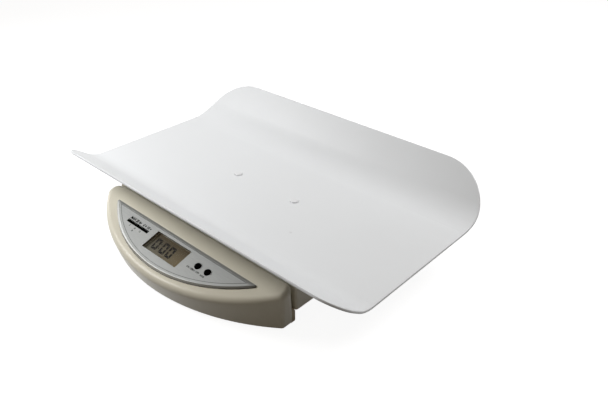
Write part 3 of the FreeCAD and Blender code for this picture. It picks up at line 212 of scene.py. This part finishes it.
# Grained ABS, coloured through in cream: warm and nearly matt, with no highlight along its edges
housing_abs = moulded("cream_abs_grained", "#d3cab3", "#ccc3ac",
                      roughness=0.55, grain_mm=1.2, depth_mm=0.03, shine=0.05)
wear(housing_abs, "bottom_housing", "battery_door")


# ---- Rubber feet ----
# Four pads of black thermoplastic rubber are glued into shallow seats under the housing. The
# connector strips and the sleeves of the two leads inside are black rubber too.

DUST_MM, DUST_DEPTH_MM = 4.0, 0.1

# Moulded rubber: matt and charcoal rather than black, and a little dusty
foot_rubber = blank("black_rubber")
foot_where = add_node(foot_rubber, "TexCoord")
foot_dust = add_node(foot_rubber, "TexNoise", {"Vector": foot_where.outputs["Object"],
                                               "Scale": 1000 / DUST_MM, "Detail": 5.0})
foot_tone = add_node(foot_rubber, "Mix", {"Factor": foot_dust.outputs["Fac"], TONE_A: linear("#232322"),
                                          TONE_B: linear("#343331")}, data_type="RGBA")
foot_relief = add_node(foot_rubber, "Bump", {"Height": foot_dust.outputs["Fac"], "Strength": 0.3,
                                             "Distance": DUST_DEPTH_MM / 1000})
foot_skin = add_node(foot_rubber, "BsdfPrincipled", {"Base Color": foot_tone.outputs[TONE],
                                                     "Roughness": 0.85,
                                                     "Normal": foot_relief.outputs[0]})
add_node(foot_rubber, "OutputMaterial", {"Surface": foot_skin.outputs[0]})
wear(foot_rubber, "rubber_feet", "connector_strips", "load_cell_lead", "battery_lead")


# ---- Base plate, frame and fixings ----
# The plates under and over the load cell are punched from 3 and 4 mm steel, and every screw, stud
# and nut is steel too. All of it is zinc plated, and so are the battery contacts.

CLOUD_MM = 11.1

# Zinc plating: bright metal, a little blue, with faint duller clouds
zinc = blank("zinc_plated_steel")
zinc_where = add_node(zinc, "TexCoord")
zinc_cloud = add_node(zinc, "TexNoise", {"Vector": zinc_where.outputs["Object"],
                                         "Scale": 1000 / CLOUD_MM, "Detail": 4.0})
zinc_tone = add_node(zinc, "Mix", {"Factor": zinc_cloud.outputs["Fac"], TONE_A: linear("#b4b5b6"),
                                   TONE_B: linear("#c9cacb")}, data_type="RGBA")
zinc_dullness = add_node(zinc, "MapRange", {"Value": zinc_cloud.outputs["Fac"],
                                            "To Min": 0.28, "To Max": 0.45})
zinc_skin = add_node(zinc, "BsdfPrincipled", {"Base Color": zinc_tone.outputs[TONE], "Metallic": 1.0,
                                              "Roughness": zinc_dullness.outputs[0]})
add_node(zinc, "OutputMaterial", {"Surface": zinc_skin.outputs[0]})
wear(zinc, "base_plate", "base_plate_screws", "overload_stops", "lower_cell_screws", "platform_frame",
     "frame_screws", "upper_cell_screws", "tray_screws", "tray_nuts", "housing_screws", "board_screws",
     "battery_contacts")


# ---- Load cell ----
# A bar of aluminium alloy, sawn and milled, with two bores that make it bend in one place. Its
# strain gauges lie under a bead of white silicone.

MILLING_MM, MILLING_DEPTH_MM = 5.03, 0.03
WAVE_RADIANS = 20

# Milled aluminium: pale, with soft bands across the bar, drawn coarser than the cutter's own marks.
# Blender's wave runs through 20 radians in one unit of its scale.
milled = blank("milled_aluminium")
milled_where = add_node(milled, "TexCoord")
milled_lines = add_node(milled, "TexWave", {"Vector": milled_where.outputs["Object"], "Distortion": 0.6,
                                            "Scale": 1000 * math.tau / (WAVE_RADIANS * MILLING_MM)},
                        bands_direction="Y")
milled_tone = add_node(milled, "Mix", {"Factor": milled_lines.outputs["Fac"], TONE_A: linear("#c2c4c7"),
                                       TONE_B: linear("#d0d2d4")}, data_type="RGBA")
milled_relief = add_node(milled, "Bump", {"Height": milled_lines.outputs["Fac"], "Strength": 0.2,
                                          "Distance": MILLING_DEPTH_MM / 1000})
milled_skin = add_node(milled, "BsdfPrincipled", {"Base Color": milled_tone.outputs[TONE],
                                                  "Metallic": 1.0, "Roughness": 0.38,
                                                  "Normal": milled_relief.outputs[0]})
add_node(milled, "OutputMaterial", {"Surface": milled_skin.outputs[0]})
wear(milled, "load_cell", "upper_spacer", "lower_spacer")

# Cured silicone: off-white, soft and uneven, as it left the nozzle
wear(moulded("white_silicone", "#dcdcd6", "#d2d2cb", roughness=0.45, grain_mm=2.0, depth_mm=0.1),
     "gauge_sealant")


# ---- Battery cells ----
# Four AA cells lie side by side in the battery bay, each a steel can in a shrunk-on jacket. The
# jackets are plain blue, and the bare ends are nickel plated.

JACKET_MOTTLE_MM = 8.33
END_FACING = 0.8

# Printed film over steel: glossy blue round a cell, and pale metal where its face looks along it
jacket = blank("cell_jacket_and_ends")
jacket_face = add_node(jacket, "NewGeometry")
jacket_axes = add_node(jacket, "SeparateXYZ", {"Vector": jacket_face.outputs["Normal"]})
jacket_side = add_node(jacket, "Math", {0: jacket_axes.outputs["X"]}, operation="ABSOLUTE")
jacket_end = add_node(jacket, "Math", {0: jacket_side.outputs[0], 1: END_FACING},
                      operation="GREATER_THAN")
jacket_where = add_node(jacket, "TexCoord")
jacket_mottle = add_node(jacket, "TexNoise", {"Vector": jacket_where.outputs["Object"],
                                              "Scale": 1000 / JACKET_MOTTLE_MM})
jacket_blue = add_node(jacket, "Mix", {"Factor": jacket_mottle.outputs["Fac"], TONE_A: linear("#2c4a6b"),
                                       TONE_B: linear("#34547a")}, data_type="RGBA")
jacket_tone = add_node(jacket, "Mix", {"Factor": jacket_end.outputs[0],
                                       TONE_A: jacket_blue.outputs[TONE],
                                       TONE_B: linear("#b9b7b0")}, data_type="RGBA")
jacket_skin = add_node(jacket, "BsdfPrincipled", {"Base Color": jacket_tone.outputs[TONE],
                                                  "Metallic": jacket_end.outputs[0], "Roughness": 0.3})
add_node(jacket, "OutputMaterial", {"Surface": jacket_skin.outputs[0]})
wear(jacket, "battery_cells")


# ---- Head cover ----
# The bow-fronted cover over the display is moulded in cream ABS. It is smoother than the housing
# below it, so its rounded rim carries a soft highlight.

# ABS from a polished mould: cream, with the sheen of an eggshell
head_abs = moulded("cream_abs_satin", "#ddd9c9", "#d7d3c3",
                   roughness=0.3, grain_mm=1.0, depth_mm=0.01, shine=0.15)
wear(head_abs, "head_cover")


# ---- Faceplate ----
# A moulded ABS trim with a bevelled edge is glued to the head's top. It is metallised and lacquered,
# and towards the right a band of painted shade darkens its bowed edge, where it stands proud of the head.

PANEL_TILT = 17.0
PLATE_WIDTH, PLATE_TOP, PLATE_BOTTOM = 301.0, 5.5, 51.0
FLAKE_MM = 2 / 3
# How wide the band of painted shade along the bowed edge is, and where across the plate it starts and is
# full
SHADE_BAND_WIDTH, SHADE_BAND_START, SHADE_BAND_FULL = 2.7, -115.0, -30.0

# All that lies on the panel is placed from its middle line, at the level of the faceplate's top. The
# LCD glass is centred 1.8 mm left of the middle, 18.3 mm below that line and 6.3 mm under that level.
GLASS_TO_PANEL = (1.8, 18.3, 6.3)

glass_low, glass_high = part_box("lcd_glass")
panel = (Matrix.Translation((glass_low + glass_high) / 2)
         @ Matrix.Rotation(math.radians(PANEL_TILT), 4, "X")
         @ Matrix.Translation([step / 1000 for step in GLASS_TO_PANEL]))
# The bowed edge is an arc that falls from the plate's two tips to its lowest point
plate_sag = PLATE_TOP + PLATE_BOTTOM
plate_radius = ((PLATE_WIDTH / 2) ** 2 + plate_sag ** 2) / (2 * plate_sag)

# Silver lacquer over ABS: a broad dull sheen with a flake in it, drawn coarser than it is. The dark colour
# is painted shade on the bevel, where it lies further out from the bow's centre than a limit that draws in
# towards the right.
lacquer = blank("metallised_abs")
lacquer_where = add_node(lacquer, "TexCoord")
lacquer_flake = add_node(lacquer, "TexNoise", {"Vector": lacquer_where.outputs["Object"],
                                               "Scale": 1000 / FLAKE_MM, "Detail": 2.0})
lacquer_silver = add_node(lacquer, "Mix", {"Factor": lacquer_flake.outputs["Fac"],
                                           TONE_A: linear("#8a8b89"),
                                           TONE_B: linear("#9c9d9b")}, data_type="RGBA")
lacquer_on_panel = add_node(lacquer, "Mapping", {"Vector": lacquer_where.outputs["Object"],
                                                 "Location": panel.inverted().translation,
                                                 "Rotation": (math.radians(-PANEL_TILT), 0, 0)})
lacquer_flat = add_node(lacquer, "VectorMath", {0: lacquer_on_panel.outputs[0], 1: (1, 1, 0)},
                        operation="MULTIPLY")
lacquer_reach = add_node(lacquer, "VectorMath", {0: lacquer_flat.outputs[0],
                                                 1: (0, (plate_radius - PLATE_BOTTOM) / 1000, 0)},
                         operation="DISTANCE")
lacquer_axes = add_node(lacquer, "SeparateXYZ", {"Vector": lacquer_where.outputs["Object"]})
shade_band_limit = add_node(lacquer, "MapRange", {"Value": lacquer_axes.outputs["X"],
                                               "From Min": SHADE_BAND_START / 1000,
                                               "From Max": SHADE_BAND_FULL / 1000,
                                               "To Min": plate_radius / 1000,
                                               "To Max": (plate_radius - SHADE_BAND_WIDTH) / 1000})
# Painted shade: beyond that limit the bevel takes a dark colour, in place of the shadow under the plate's
# proud bowed edge
lacquer_painted_shade = add_node(lacquer, "Math", {0: lacquer_reach.outputs["Value"], 1: shade_band_limit.outputs[0]},
                        operation="GREATER_THAN")
lacquer_and_painted_shade = add_node(lacquer, "Mix", {"Factor": lacquer_painted_shade.outputs[0],
                                         TONE_A: lacquer_silver.outputs[TONE],
                                         TONE_B: linear("#4a4842")}, data_type="RGBA")
lacquer_skin = add_node(lacquer, "BsdfPrincipled", {"Base Color": lacquer_and_painted_shade.outputs[TONE],
                                                    "Metallic": 0.5, "Roughness": 0.48,
                                                    "Specular IOR Level": 0.2})
add_node(lacquer, "OutputMaterial", {"Surface": lacquer_skin.outputs[0]})
wear(lacquer, "faceplate")


# ---- Faceplate overlay and its print ----
# A sheet of brushed aluminium, clear coated, lies in the faceplate's recess. The words and the
# graduated rule are screen printed on it in black ink. A grey line of painted shade runs along its edge.

BRUSHING_MM, BRUSHING_DEPTH_MM, BRUSHING_STRETCH = 0.35, 0.02, 0.03

# Brushed aluminium under a clear coat: lines along the sheet, drawn coarser than they are, and a sheen
# with no mirror image in it
brushed = blank("brushed_aluminium")
brushed_where = add_node(brushed, "TexCoord")
brushed_stretch = add_node(brushed, "Mapping", {"Vector": brushed_where.outputs["Object"],
                                                "Scale": (BRUSHING_STRETCH, 1.0, 1.0)})
brushed_lines = add_node(brushed, "TexNoise", {"Vector": brushed_stretch.outputs[0],
                                               "Scale": 1000 / BRUSHING_MM, "Detail": 3.0})
brushed_tone = add_node(brushed, "Mix", {"Factor": brushed_lines.outputs["Fac"],
                                         TONE_A: linear("#8f9192"),
                                         TONE_B: linear("#adafac")}, data_type="RGBA")
brushed_relief = add_node(brushed, "Bump", {"Height": brushed_lines.outputs["Fac"], "Strength": 0.25,
                                            "Distance": BRUSHING_DEPTH_MM / 1000})
brushed_skin = add_node(brushed, "BsdfPrincipled", {"Base Color": brushed_tone.outputs[TONE],
                                                    "Metallic": 0.3, "Roughness": 0.55,
                                                    "Normal": brushed_relief.outputs[0],
                                                    "Specular IOR Level": 0.1})
add_node(brushed, "OutputMaterial", {"Surface": brushed_skin.outputs[0]})
wear(brushed, "faceplate_overlay")

# The print lies 0.03 mm over the sheet's face, which is sunk 0.2 mm below the faceplate's top
PRINT_LEVEL = -0.17
SCREEN_MESH_MM = 0.5
# The font's capitals are this share of its size
CAPITALS_SHARE = 0.72

# Screen ink: matt black, with the faint marks of the screen's mesh, drawn coarser than they are
ink = blank("black_screen_ink")
ink_where = add_node(ink, "TexCoord")
ink_marks = add_node(ink, "TexNoise", {"Vector": ink_where.outputs["Object"],
                                       "Scale": 1000 / SCREEN_MESH_MM})
ink_tone = add_node(ink, "Mix", {"Factor": ink_marks.outputs["Fac"], TONE_A: linear("#070707"),
                                 TONE_B: linear("#0e0e0e")}, data_type="RGBA")
ink_skin = add_node(ink, "BsdfPrincipled", {"Base Color": ink_tone.outputs[TONE], "Roughness": 0.6,
                                            "Specular IOR Level": 0.0})
add_node(ink, "OutputMaterial", {"Surface": ink_skin.outputs[0]})


def print_words(name, words, left, base, height, boldness, width=None):
    """Flat lettering on the overlay: its left end, base line, capitals' height and overall width."""
    letters = bpy.data.curves.new(name, "FONT")
    letters.body = words
    letters.size = height / CAPITALS_SHARE
    letters.offset = boldness * letters.size
    marker = bpy.data.objects.new(name + "_letters", letters)
    bpy.context.scene.collection.objects.link(marker)
    bpy.context.view_layer.update()
    mesh = bpy.data.meshes.new_from_object(marker.evaluated_get(bpy.context.evaluated_depsgraph_get()))
    bpy.data.objects.remove(marker)
    low = min(point.co.x for point in mesh.vertices)
    high = max(point.co.x for point in mesh.vertices)
    stretch = (width / (high - low)) if width else 1.0
    mesh.transform(Matrix.Translation((-low, 0, 0)))
    mesh.transform(panel @ Matrix.Translation((left / 1000, base / 1000, PRINT_LEVEL / 1000))
                   @ Matrix.Diagonal((stretch / 1000, 0.001, 0.001, 1)))
    mesh.materials.clear()
    add_piece(name, mesh, ink, "base")


def panel_patches(name, patches, level, material):
    """Flat patches on a level of the panel, each a ring of corners in millimetres."""
    shape = bmesh.new()
    for patch in patches:
        shape.faces.new([shape.verts.new(panel @ Vector((x / 1000, y / 1000, level / 1000)))
                         for x, y in patch])
    mesh = bpy.data.meshes.new(name)
    shape.to_mesh(mesh)
    shape.free()
    add_piece(name, mesh, material, "base")


def rectangle(left, low, right, high):
    """The corners of an upright rectangle."""
    return [(left, low), (right, low), (right, high), (left, high)]


# The painted shade line follows the overlay's edge, further in at the bowed side than at the straight one
BORDER_INSET_STRAIGHT, BORDER_INSET_BOWED, BORDER_WIDTH = 0.2, 2.6, 0.7
# Corners of the sheet's two faces that lie nearer than this are one corner of its outline
CORNERS_APART = 0.2

# Painted shade of the groove along the overlay's edge: a thin grey line, darker than the metal round it,
# mottled as the ink is
groove_shade = blank("painted_groove_shade")
border_where = add_node(groove_shade, "TexCoord")
groove_shade_mottle = add_node(groove_shade, "TexNoise", {"Vector": border_where.outputs["Object"],
                                                  "Scale": 1000 / SCREEN_MESH_MM})
groove_shade_tone = add_node(groove_shade, "Mix", {"Factor": groove_shade_mottle.outputs["Fac"],
                                            TONE_A: linear("#484948"),
                                            TONE_B: linear("#525352")}, data_type="RGBA")
border_skin = add_node(groove_shade, "BsdfPrincipled", {"Base Color": groove_shade_tone.outputs[TONE],
                                                       "Roughness": 0.6})
add_node(groove_shade, "OutputMaterial", {"Surface": border_skin.outputs[0]})


def sheet_outline():
    """The overlay's outline in the panel's millimetres, in order, with no two corners in one place."""
    sheet = cad_nodes["faceplate_overlay"]
    to_panel = panel.inverted() @ sheet.matrix_world
    spots = [(to_panel @ vertex.co).xy * 1000 for vertex in sheet.data.vertices]
    ring = [spots[number] for number in convex_hull_2d(spots)]
    return [spot for number, spot in enumerate(ring) if (spot - ring[number - 1]).length > CORNERS_APART]


def drawn_in(ring, further):
    """A ring of corners moved inwards to the border's outer edge, and further by a distance."""
    moved = []
    for number, corner in enumerate(ring):
        before = (corner - ring[number - 1]).normalized()
        after = (ring[(number + 1) % len(ring)] - corner).normalized()
        inward = Vector((-before.y - after.y, before.x + after.x)).normalized()
        bowed = (1 + inward.y) / 2
        inset = BORDER_INSET_STRAIGHT + (BORDER_INSET_BOWED - BORDER_INSET_STRAIGHT) * bowed + further
        moved.append(corner + inward * inset / inward.dot(Vector((-before.y, before.x))))
    return moved


outline = sheet_outline()
border_outer = drawn_in(outline, 0)
border_inner = drawn_in(outline, BORDER_WIDTH)
panel_patches("overlay_groove_shade", [[border_outer[number - 1], border_outer[number],
                                  border_inner[number], border_inner[number - 1]]
                                 for number in range(len(outline))],
              PRINT_LEVEL, groove_shade)

print_words("power_caption", "ON / ZERO / OFF", left=46.0, base=-23.4, height=2.3, boldness=0.04, width=24.0)
print_words("hold_caption", "HOLD", left=73.3, base=-23.8, height=2.3, boldness=0.04, width=7.4)
print_words("range_words", "MAX 20 kg   d = 10 g", left=-97.0, base=-9.4, height=4.2, boldness=0.05,
            width=47.5)
for step, left in ((5, -86.6), (10, -75.4), (15, -63.3)):
    print_words("scale_number_%d" % step, str(step), left, base=-20.0, height=2.6, boldness=0.03)
print_words("scale_unit", "kg", left=-75.3, base=-24.6, height=2.6, boldness=0.03)

# The rule is a black bar with a cell for each kilogram. A notch in its upper edge parts each cell from
# the next, except after every fifth.
BAR_LEFT, BAR_RIGHT, BAR_LOW, BAR_HIGH = -98.0, -49.5, -15.8, -10.8
BAR_CELLS, UNNOTCHED_EVERY = 20, 5
NOTCH_WIDTH, NOTCH_DEPTH = 0.35, 1.6

bar_cell = (BAR_RIGHT - BAR_LEFT) / BAR_CELLS
bar_patches = []
for cell in range(BAR_CELLS):
    left = BAR_LEFT + cell * bar_cell
    right = BAR_LEFT + (cell + 1) * bar_cell - NOTCH_WIDTH
    notch = NOTCH_DEPTH if (cell + 1) % UNNOTCHED_EVERY else 0
    bar_patches.append(rectangle(left, BAR_LOW, right, BAR_HIGH))
    bar_patches.append(rectangle(right, BAR_LOW, right + NOTCH_WIDTH, BAR_HIGH - notch))
panel_patches("graduated_bar", bar_patches, PRINT_LEVEL, ink)


# ---- Display ----
# A reflective LCD: glass with its digits in liquid crystal, over an olive reflector. A moulded
# frame holds it under the head, and a clear acrylic window closes the opening above it.

REFLECTOR_LEFT, REFLECTOR_RIGHT = -38.0, 34.0
REFLECTOR_FRONT, REFLECTOR_BACK = -163.0, -142.0
# How strongly the reflector glows: painted light, as it is no lamp
REFLECTOR_PAINTED_LIGHT = 0.2

# A matt foil behind the glass: olive, browner to the right. Towards the back it is darkened by a painted
# shadow of the window's frame, and it glows faintly, a painted light that fills the window's shade.
reflector = blank("lcd_reflector")
reflector_where = add_node(reflector, "TexCoord")
reflector_axes = add_node(reflector, "SeparateXYZ", {"Vector": reflector_where.outputs["Object"]})
reflector_along = add_node(reflector, "MapRange", {"Value": reflector_axes.outputs["X"],
                                                   "From Min": REFLECTOR_LEFT / 1000,
                                                   "From Max": REFLECTOR_RIGHT / 1000})
# Painted shadow of the window's frame: none at the front, full at the back
reflector_painted_shadow = add_node(reflector, "MapRange", {"Value": reflector_axes.outputs["Y"],
                                                "From Min": REFLECTOR_FRONT / 1000,
                                                "From Max": REFLECTOR_BACK / 1000})
reflector_lit = add_node(reflector, "Mix", {"Factor": reflector_along.outputs[0],
                                            TONE_A: linear("#6c6a5e"),
                                            TONE_B: linear("#776a50")}, data_type="RGBA")
reflector_tone_and_shadow = add_node(reflector, "Mix", {"Factor": reflector_painted_shadow.outputs[0],
                                             TONE_A: reflector_lit.outputs[TONE],
                                             TONE_B: linear("#4c4230")}, data_type="RGBA")
reflector_skin = add_node(reflector, "BsdfPrincipled", {"Base Color": reflector_tone_and_shadow.outputs[TONE],
                                                        "Roughness": 0.5, "Specular IOR Level": 0.1,
                                                        "Emission Color": reflector_tone_and_shadow.outputs[TONE],
                                                        "Emission Strength": REFLECTOR_PAINTED_LIGHT})
add_node(reflector, "OutputMaterial", {"Surface": reflector_skin.outputs[0]})
wear(reflector, "lcd_glass")

# The digits lie 0.04 mm over the glass
LCD_LEVEL = -4.86
DIGIT_LEFTS, DIGIT_BASE = (-29.4, -13.4, 0.2), -27.1
DIGIT_WIDTH, DIGIT_HEIGHT, DIGIT_LEAN = 10.6, 17.8, -2.2
SEGMENT_WIDTH, SEGMENT_GAP = 3.4, 0.35
COLON_X, COLON_HEIGHTS, COLON_DOT = -16.4, (5.0, 12.0), 1.8
CRYSTAL_MOTTLE_MM = 1.11

# Liquid crystal: a lit segment lets no light back, so it is a warm black, hardly mottled
crystal = blank("liquid_crystal")
crystal_where = add_node(crystal, "TexCoord")
crystal_mottle = add_node(crystal, "TexNoise", {"Vector": crystal_where.outputs["Object"],
                                                "Scale": 1000 / CRYSTAL_MOTTLE_MM})
crystal_tone = add_node(crystal, "Mix", {"Factor": crystal_mottle.outputs["Fac"],
                                         TONE_A: linear("#050403"),
                                         TONE_B: linear("#0a0806")}, data_type="RGBA")
crystal_skin = add_node(crystal, "BsdfPrincipled", {"Base Color": crystal_tone.outputs[TONE],
                                                    "Roughness": 0.6, "Specular IOR Level": 0.1})
add_node(crystal, "OutputMaterial", {"Surface": crystal_skin.outputs[0]})


def lean(x, y):
    """A point of a digit, leant as the display's digits are."""
    return x + DIGIT_LEAN * (y - DIGIT_BASE) / DIGIT_HEIGHT, y


def nought_segments(left):
    """The six lit segments of a seven-segment nought, mitred where they meet."""
    right, low, high = left + DIGIT_WIDTH, DIGIT_BASE, DIGIT_BASE + DIGIT_HEIGHT
    middle, stroke, gap = (low + high) / 2, SEGMENT_WIDTH, SEGMENT_GAP
    flat = [[(left + gap, low), (right - gap, low),
             (right - stroke - gap, low + stroke), (left + stroke + gap, low + stroke)],
            [(left + gap, high), (left + stroke + gap, high - stroke),
             (right - stroke - gap, high - stroke), (right - gap, high)]]
    for outer, inner in ((left, left + stroke), (right, right - stroke)):
        half = (outer + inner) / 2
        flat.append([(outer, low + gap), (inner, low + stroke + gap), (inner, middle - stroke / 2),
                     (half, middle - gap), (outer, middle - gap)])
        flat.append([(outer, high - gap), (inner, high - stroke - gap), (inner, middle + stroke / 2),
                     (half, middle + gap), (outer, middle + gap)])
    return [[lean(x, y) for x, y in patch] for patch in flat]


dot_half = COLON_DOT / 2
lit_patches = [segment for left in DIGIT_LEFTS for segment in nought_segments(left)]
for height in COLON_HEIGHTS:
    dot_low = DIGIT_BASE + height - dot_half
    lit_patches.append([lean(x, y) for x, y in rectangle(COLON_X - dot_half, dot_low,
                                                         COLON_X + dot_half, dot_low + COLON_DOT)])
panel_patches("display_digits", lit_patches, LCD_LEVEL, crystal)

EDGE_FACING = 0.7
HAZE_MM = 2.5

# Cast acrylic: clear through its face, with a faint brown tint. Its sawn edge is drawn matt and opaque,
# in a painted grey-brown: the display's tone, put where the window's wall lies in shade.
acrylic = blank("clear_acrylic")
acrylic_face = add_node(acrylic, "NewGeometry")
acrylic_facing = add_node(acrylic, "VectorMath", {0: acrylic_face.outputs["Normal"],
                                                  1: tuple(panel.col[2].xyz)}, operation="DOT_PRODUCT")
acrylic_square = add_node(acrylic, "Math", {0: acrylic_facing.outputs["Value"]}, operation="ABSOLUTE")
acrylic_edge = add_node(acrylic, "Math", {0: acrylic_square.outputs[0], 1: EDGE_FACING},
                        operation="LESS_THAN")
acrylic_where = add_node(acrylic, "TexCoord")
acrylic_haze = add_node(acrylic, "TexNoise", {"Vector": acrylic_where.outputs["Object"],
                                              "Scale": 1000 / HAZE_MM})
acrylic_dullness = add_node(acrylic, "MapRange", {"Value": acrylic_haze.outputs["Fac"],
                                                  "To Min": 0.28, "To Max": 0.36})
acrylic_tint_and_painted_edge = add_node(acrylic, "Mix", {"Factor": acrylic_edge.outputs[0], TONE_A: linear("#26221b"),
                                         TONE_B: linear("#6e6452")}, data_type="RGBA")
acrylic_cover = add_node(acrylic, "MapRange", {"Value": acrylic_edge.outputs[0],
                                               "To Min": 0.08, "To Max": 1.0})
acrylic_skin = add_node(acrylic, "BsdfPrincipled", {"Base Color": acrylic_tint_and_painted_edge.outputs[TONE],
                                                    "IOR": 1.49,
                                                    "Roughness": acrylic_dullness.outputs[0],
                                                    "Specular IOR Level": 0.1,
                                                    "Alpha": acrylic_cover.outputs[0]})
add_node(acrylic, "OutputMaterial", {"Surface": acrylic_skin.outputs[0]})
wear(acrylic, "display_lens")


# ---- Buttons and switches ----
# Each button is a round cap moulded in black ABS, on a stem that presses the plunger of a small
# switch on the main board. The caps are satin, and the parts under the panel are plain.

# Black ABS, coloured through: deep black, with hardly a highlight
button_abs = moulded("black_abs_satin", "#040404", "#070707",
                     roughness=0.4, grain_mm=1.5, depth_mm=0.01, shine=0.0)
wear(button_abs, "power_button", "hold_button")

# Nylon: a greyer black than the caps, with a low sheen
wear(moulded("black_nylon", "#1c1c1d", "#242425", roughness=0.5, grain_mm=1.0, depth_mm=0.03),
     "power_plunger", "hold_plunger", "tact_switches", "lcd_frame")


# ---- Main board ----
# Glass-fibre laminate under a green solder mask, with copper tracks below it. The chip, crystal,
# capacitors and sockets on it are black.

TRACK_MM = 1.5625
BRICK_ROW = 0.25

# Solder mask: glossy green, paler where it runs over the tracks. They are drawn as the joints of a
# brick pattern, whose rows are a quarter of a unit of its scale high.
mask = blank("green_solder_mask")
mask_where = add_node(mask, "TexCoord")
mask_tracks = add_node(mask, "TexBrick", {"Vector": mask_where.outputs["Object"],
                                          "Scale": 1000 * BRICK_ROW / TRACK_MM,
                                          "Color1": linear("#1d5a35"), "Color2": linear("#1f5f38"),
                                          "Mortar": linear("#3c8a58"), "Mortar Size": 0.03})
mask_skin = add_node(mask, "BsdfPrincipled", {"Base Color": mask_tracks.outputs["Color"],
                                              "Roughness": 0.3})
add_node(mask, "OutputMaterial", {"Surface": mask_skin.outputs[0]})
wear(mask, "main_board")

# Moulded epoxy: charcoal and nearly matt
wear(moulded("black_epoxy", "#1a1a1b", "#232324", roughness=0.55, grain_mm=0.8, depth_mm=0.04),
     "board_components")


# ---- Platform cover ----
# The cover over the load cell is moulded in the same cream ABS as the head, and it carries the
# tray on a raised pad.

wear(head_abs, "platform_cover")


# ---- Tray and its screw caps ----
# A sheet of white ABS, vacuum formed over a smooth mould and trimmed, so it is satin inside and its
# edge is rounded. Two push-in caps of the same white hide the screws.

# Formed ABS sheet: a cool white, with a soft satin light across its bends
tray_abs = moulded("white_abs_satin", "#dde0e3", "#d9dcdf",
                   roughness=0.42, grain_mm=1.6, depth_mm=0.02, shine=0.35)
wear(tray_abs, "tray")

# The caps are moulded, so they are smoother and shine a little more than the sheet
cap_abs = moulded("white_abs_gloss", "#dcdee1", "#d8dadd",
                  roughness=0.3, grain_mm=1.0, depth_mm=0.005, shine=0.35)
wear(cap_abs, "tray_screw_caps")

# A small vent in the mould leaves a faint round mark on the bed
VENT_MARK, VENT_RADIUS, VENT_CORNERS = (110.6, -38.2, 65.03), 2.0, 24

vent_shape = bmesh.new()
vent_rim = []
for step in range(VENT_CORNERS):
    turn = math.tau * step / VENT_CORNERS
    spot = Vector(VENT_MARK) + VENT_RADIUS * Vector((math.cos(turn), math.sin(turn), 0))
    vent_rim.append(vent_shape.verts.new(spot / 1000))
vent_shape.faces.new(vent_rim)
vent_mesh = bpy.data.meshes.new("vent_mark")
vent_shape.to_mesh(vent_mesh)
vent_shape.free()
# The same sheet where the vent drew it thin: a shade darker and duller
vent_abs = moulded("white_abs_scar", "#d3d5d8", "#cfd1d4", roughness=0.5, grain_mm=1.0, depth_mm=0.02)
add_piece("vent_mark", vent_mesh, vent_abs, "platform")
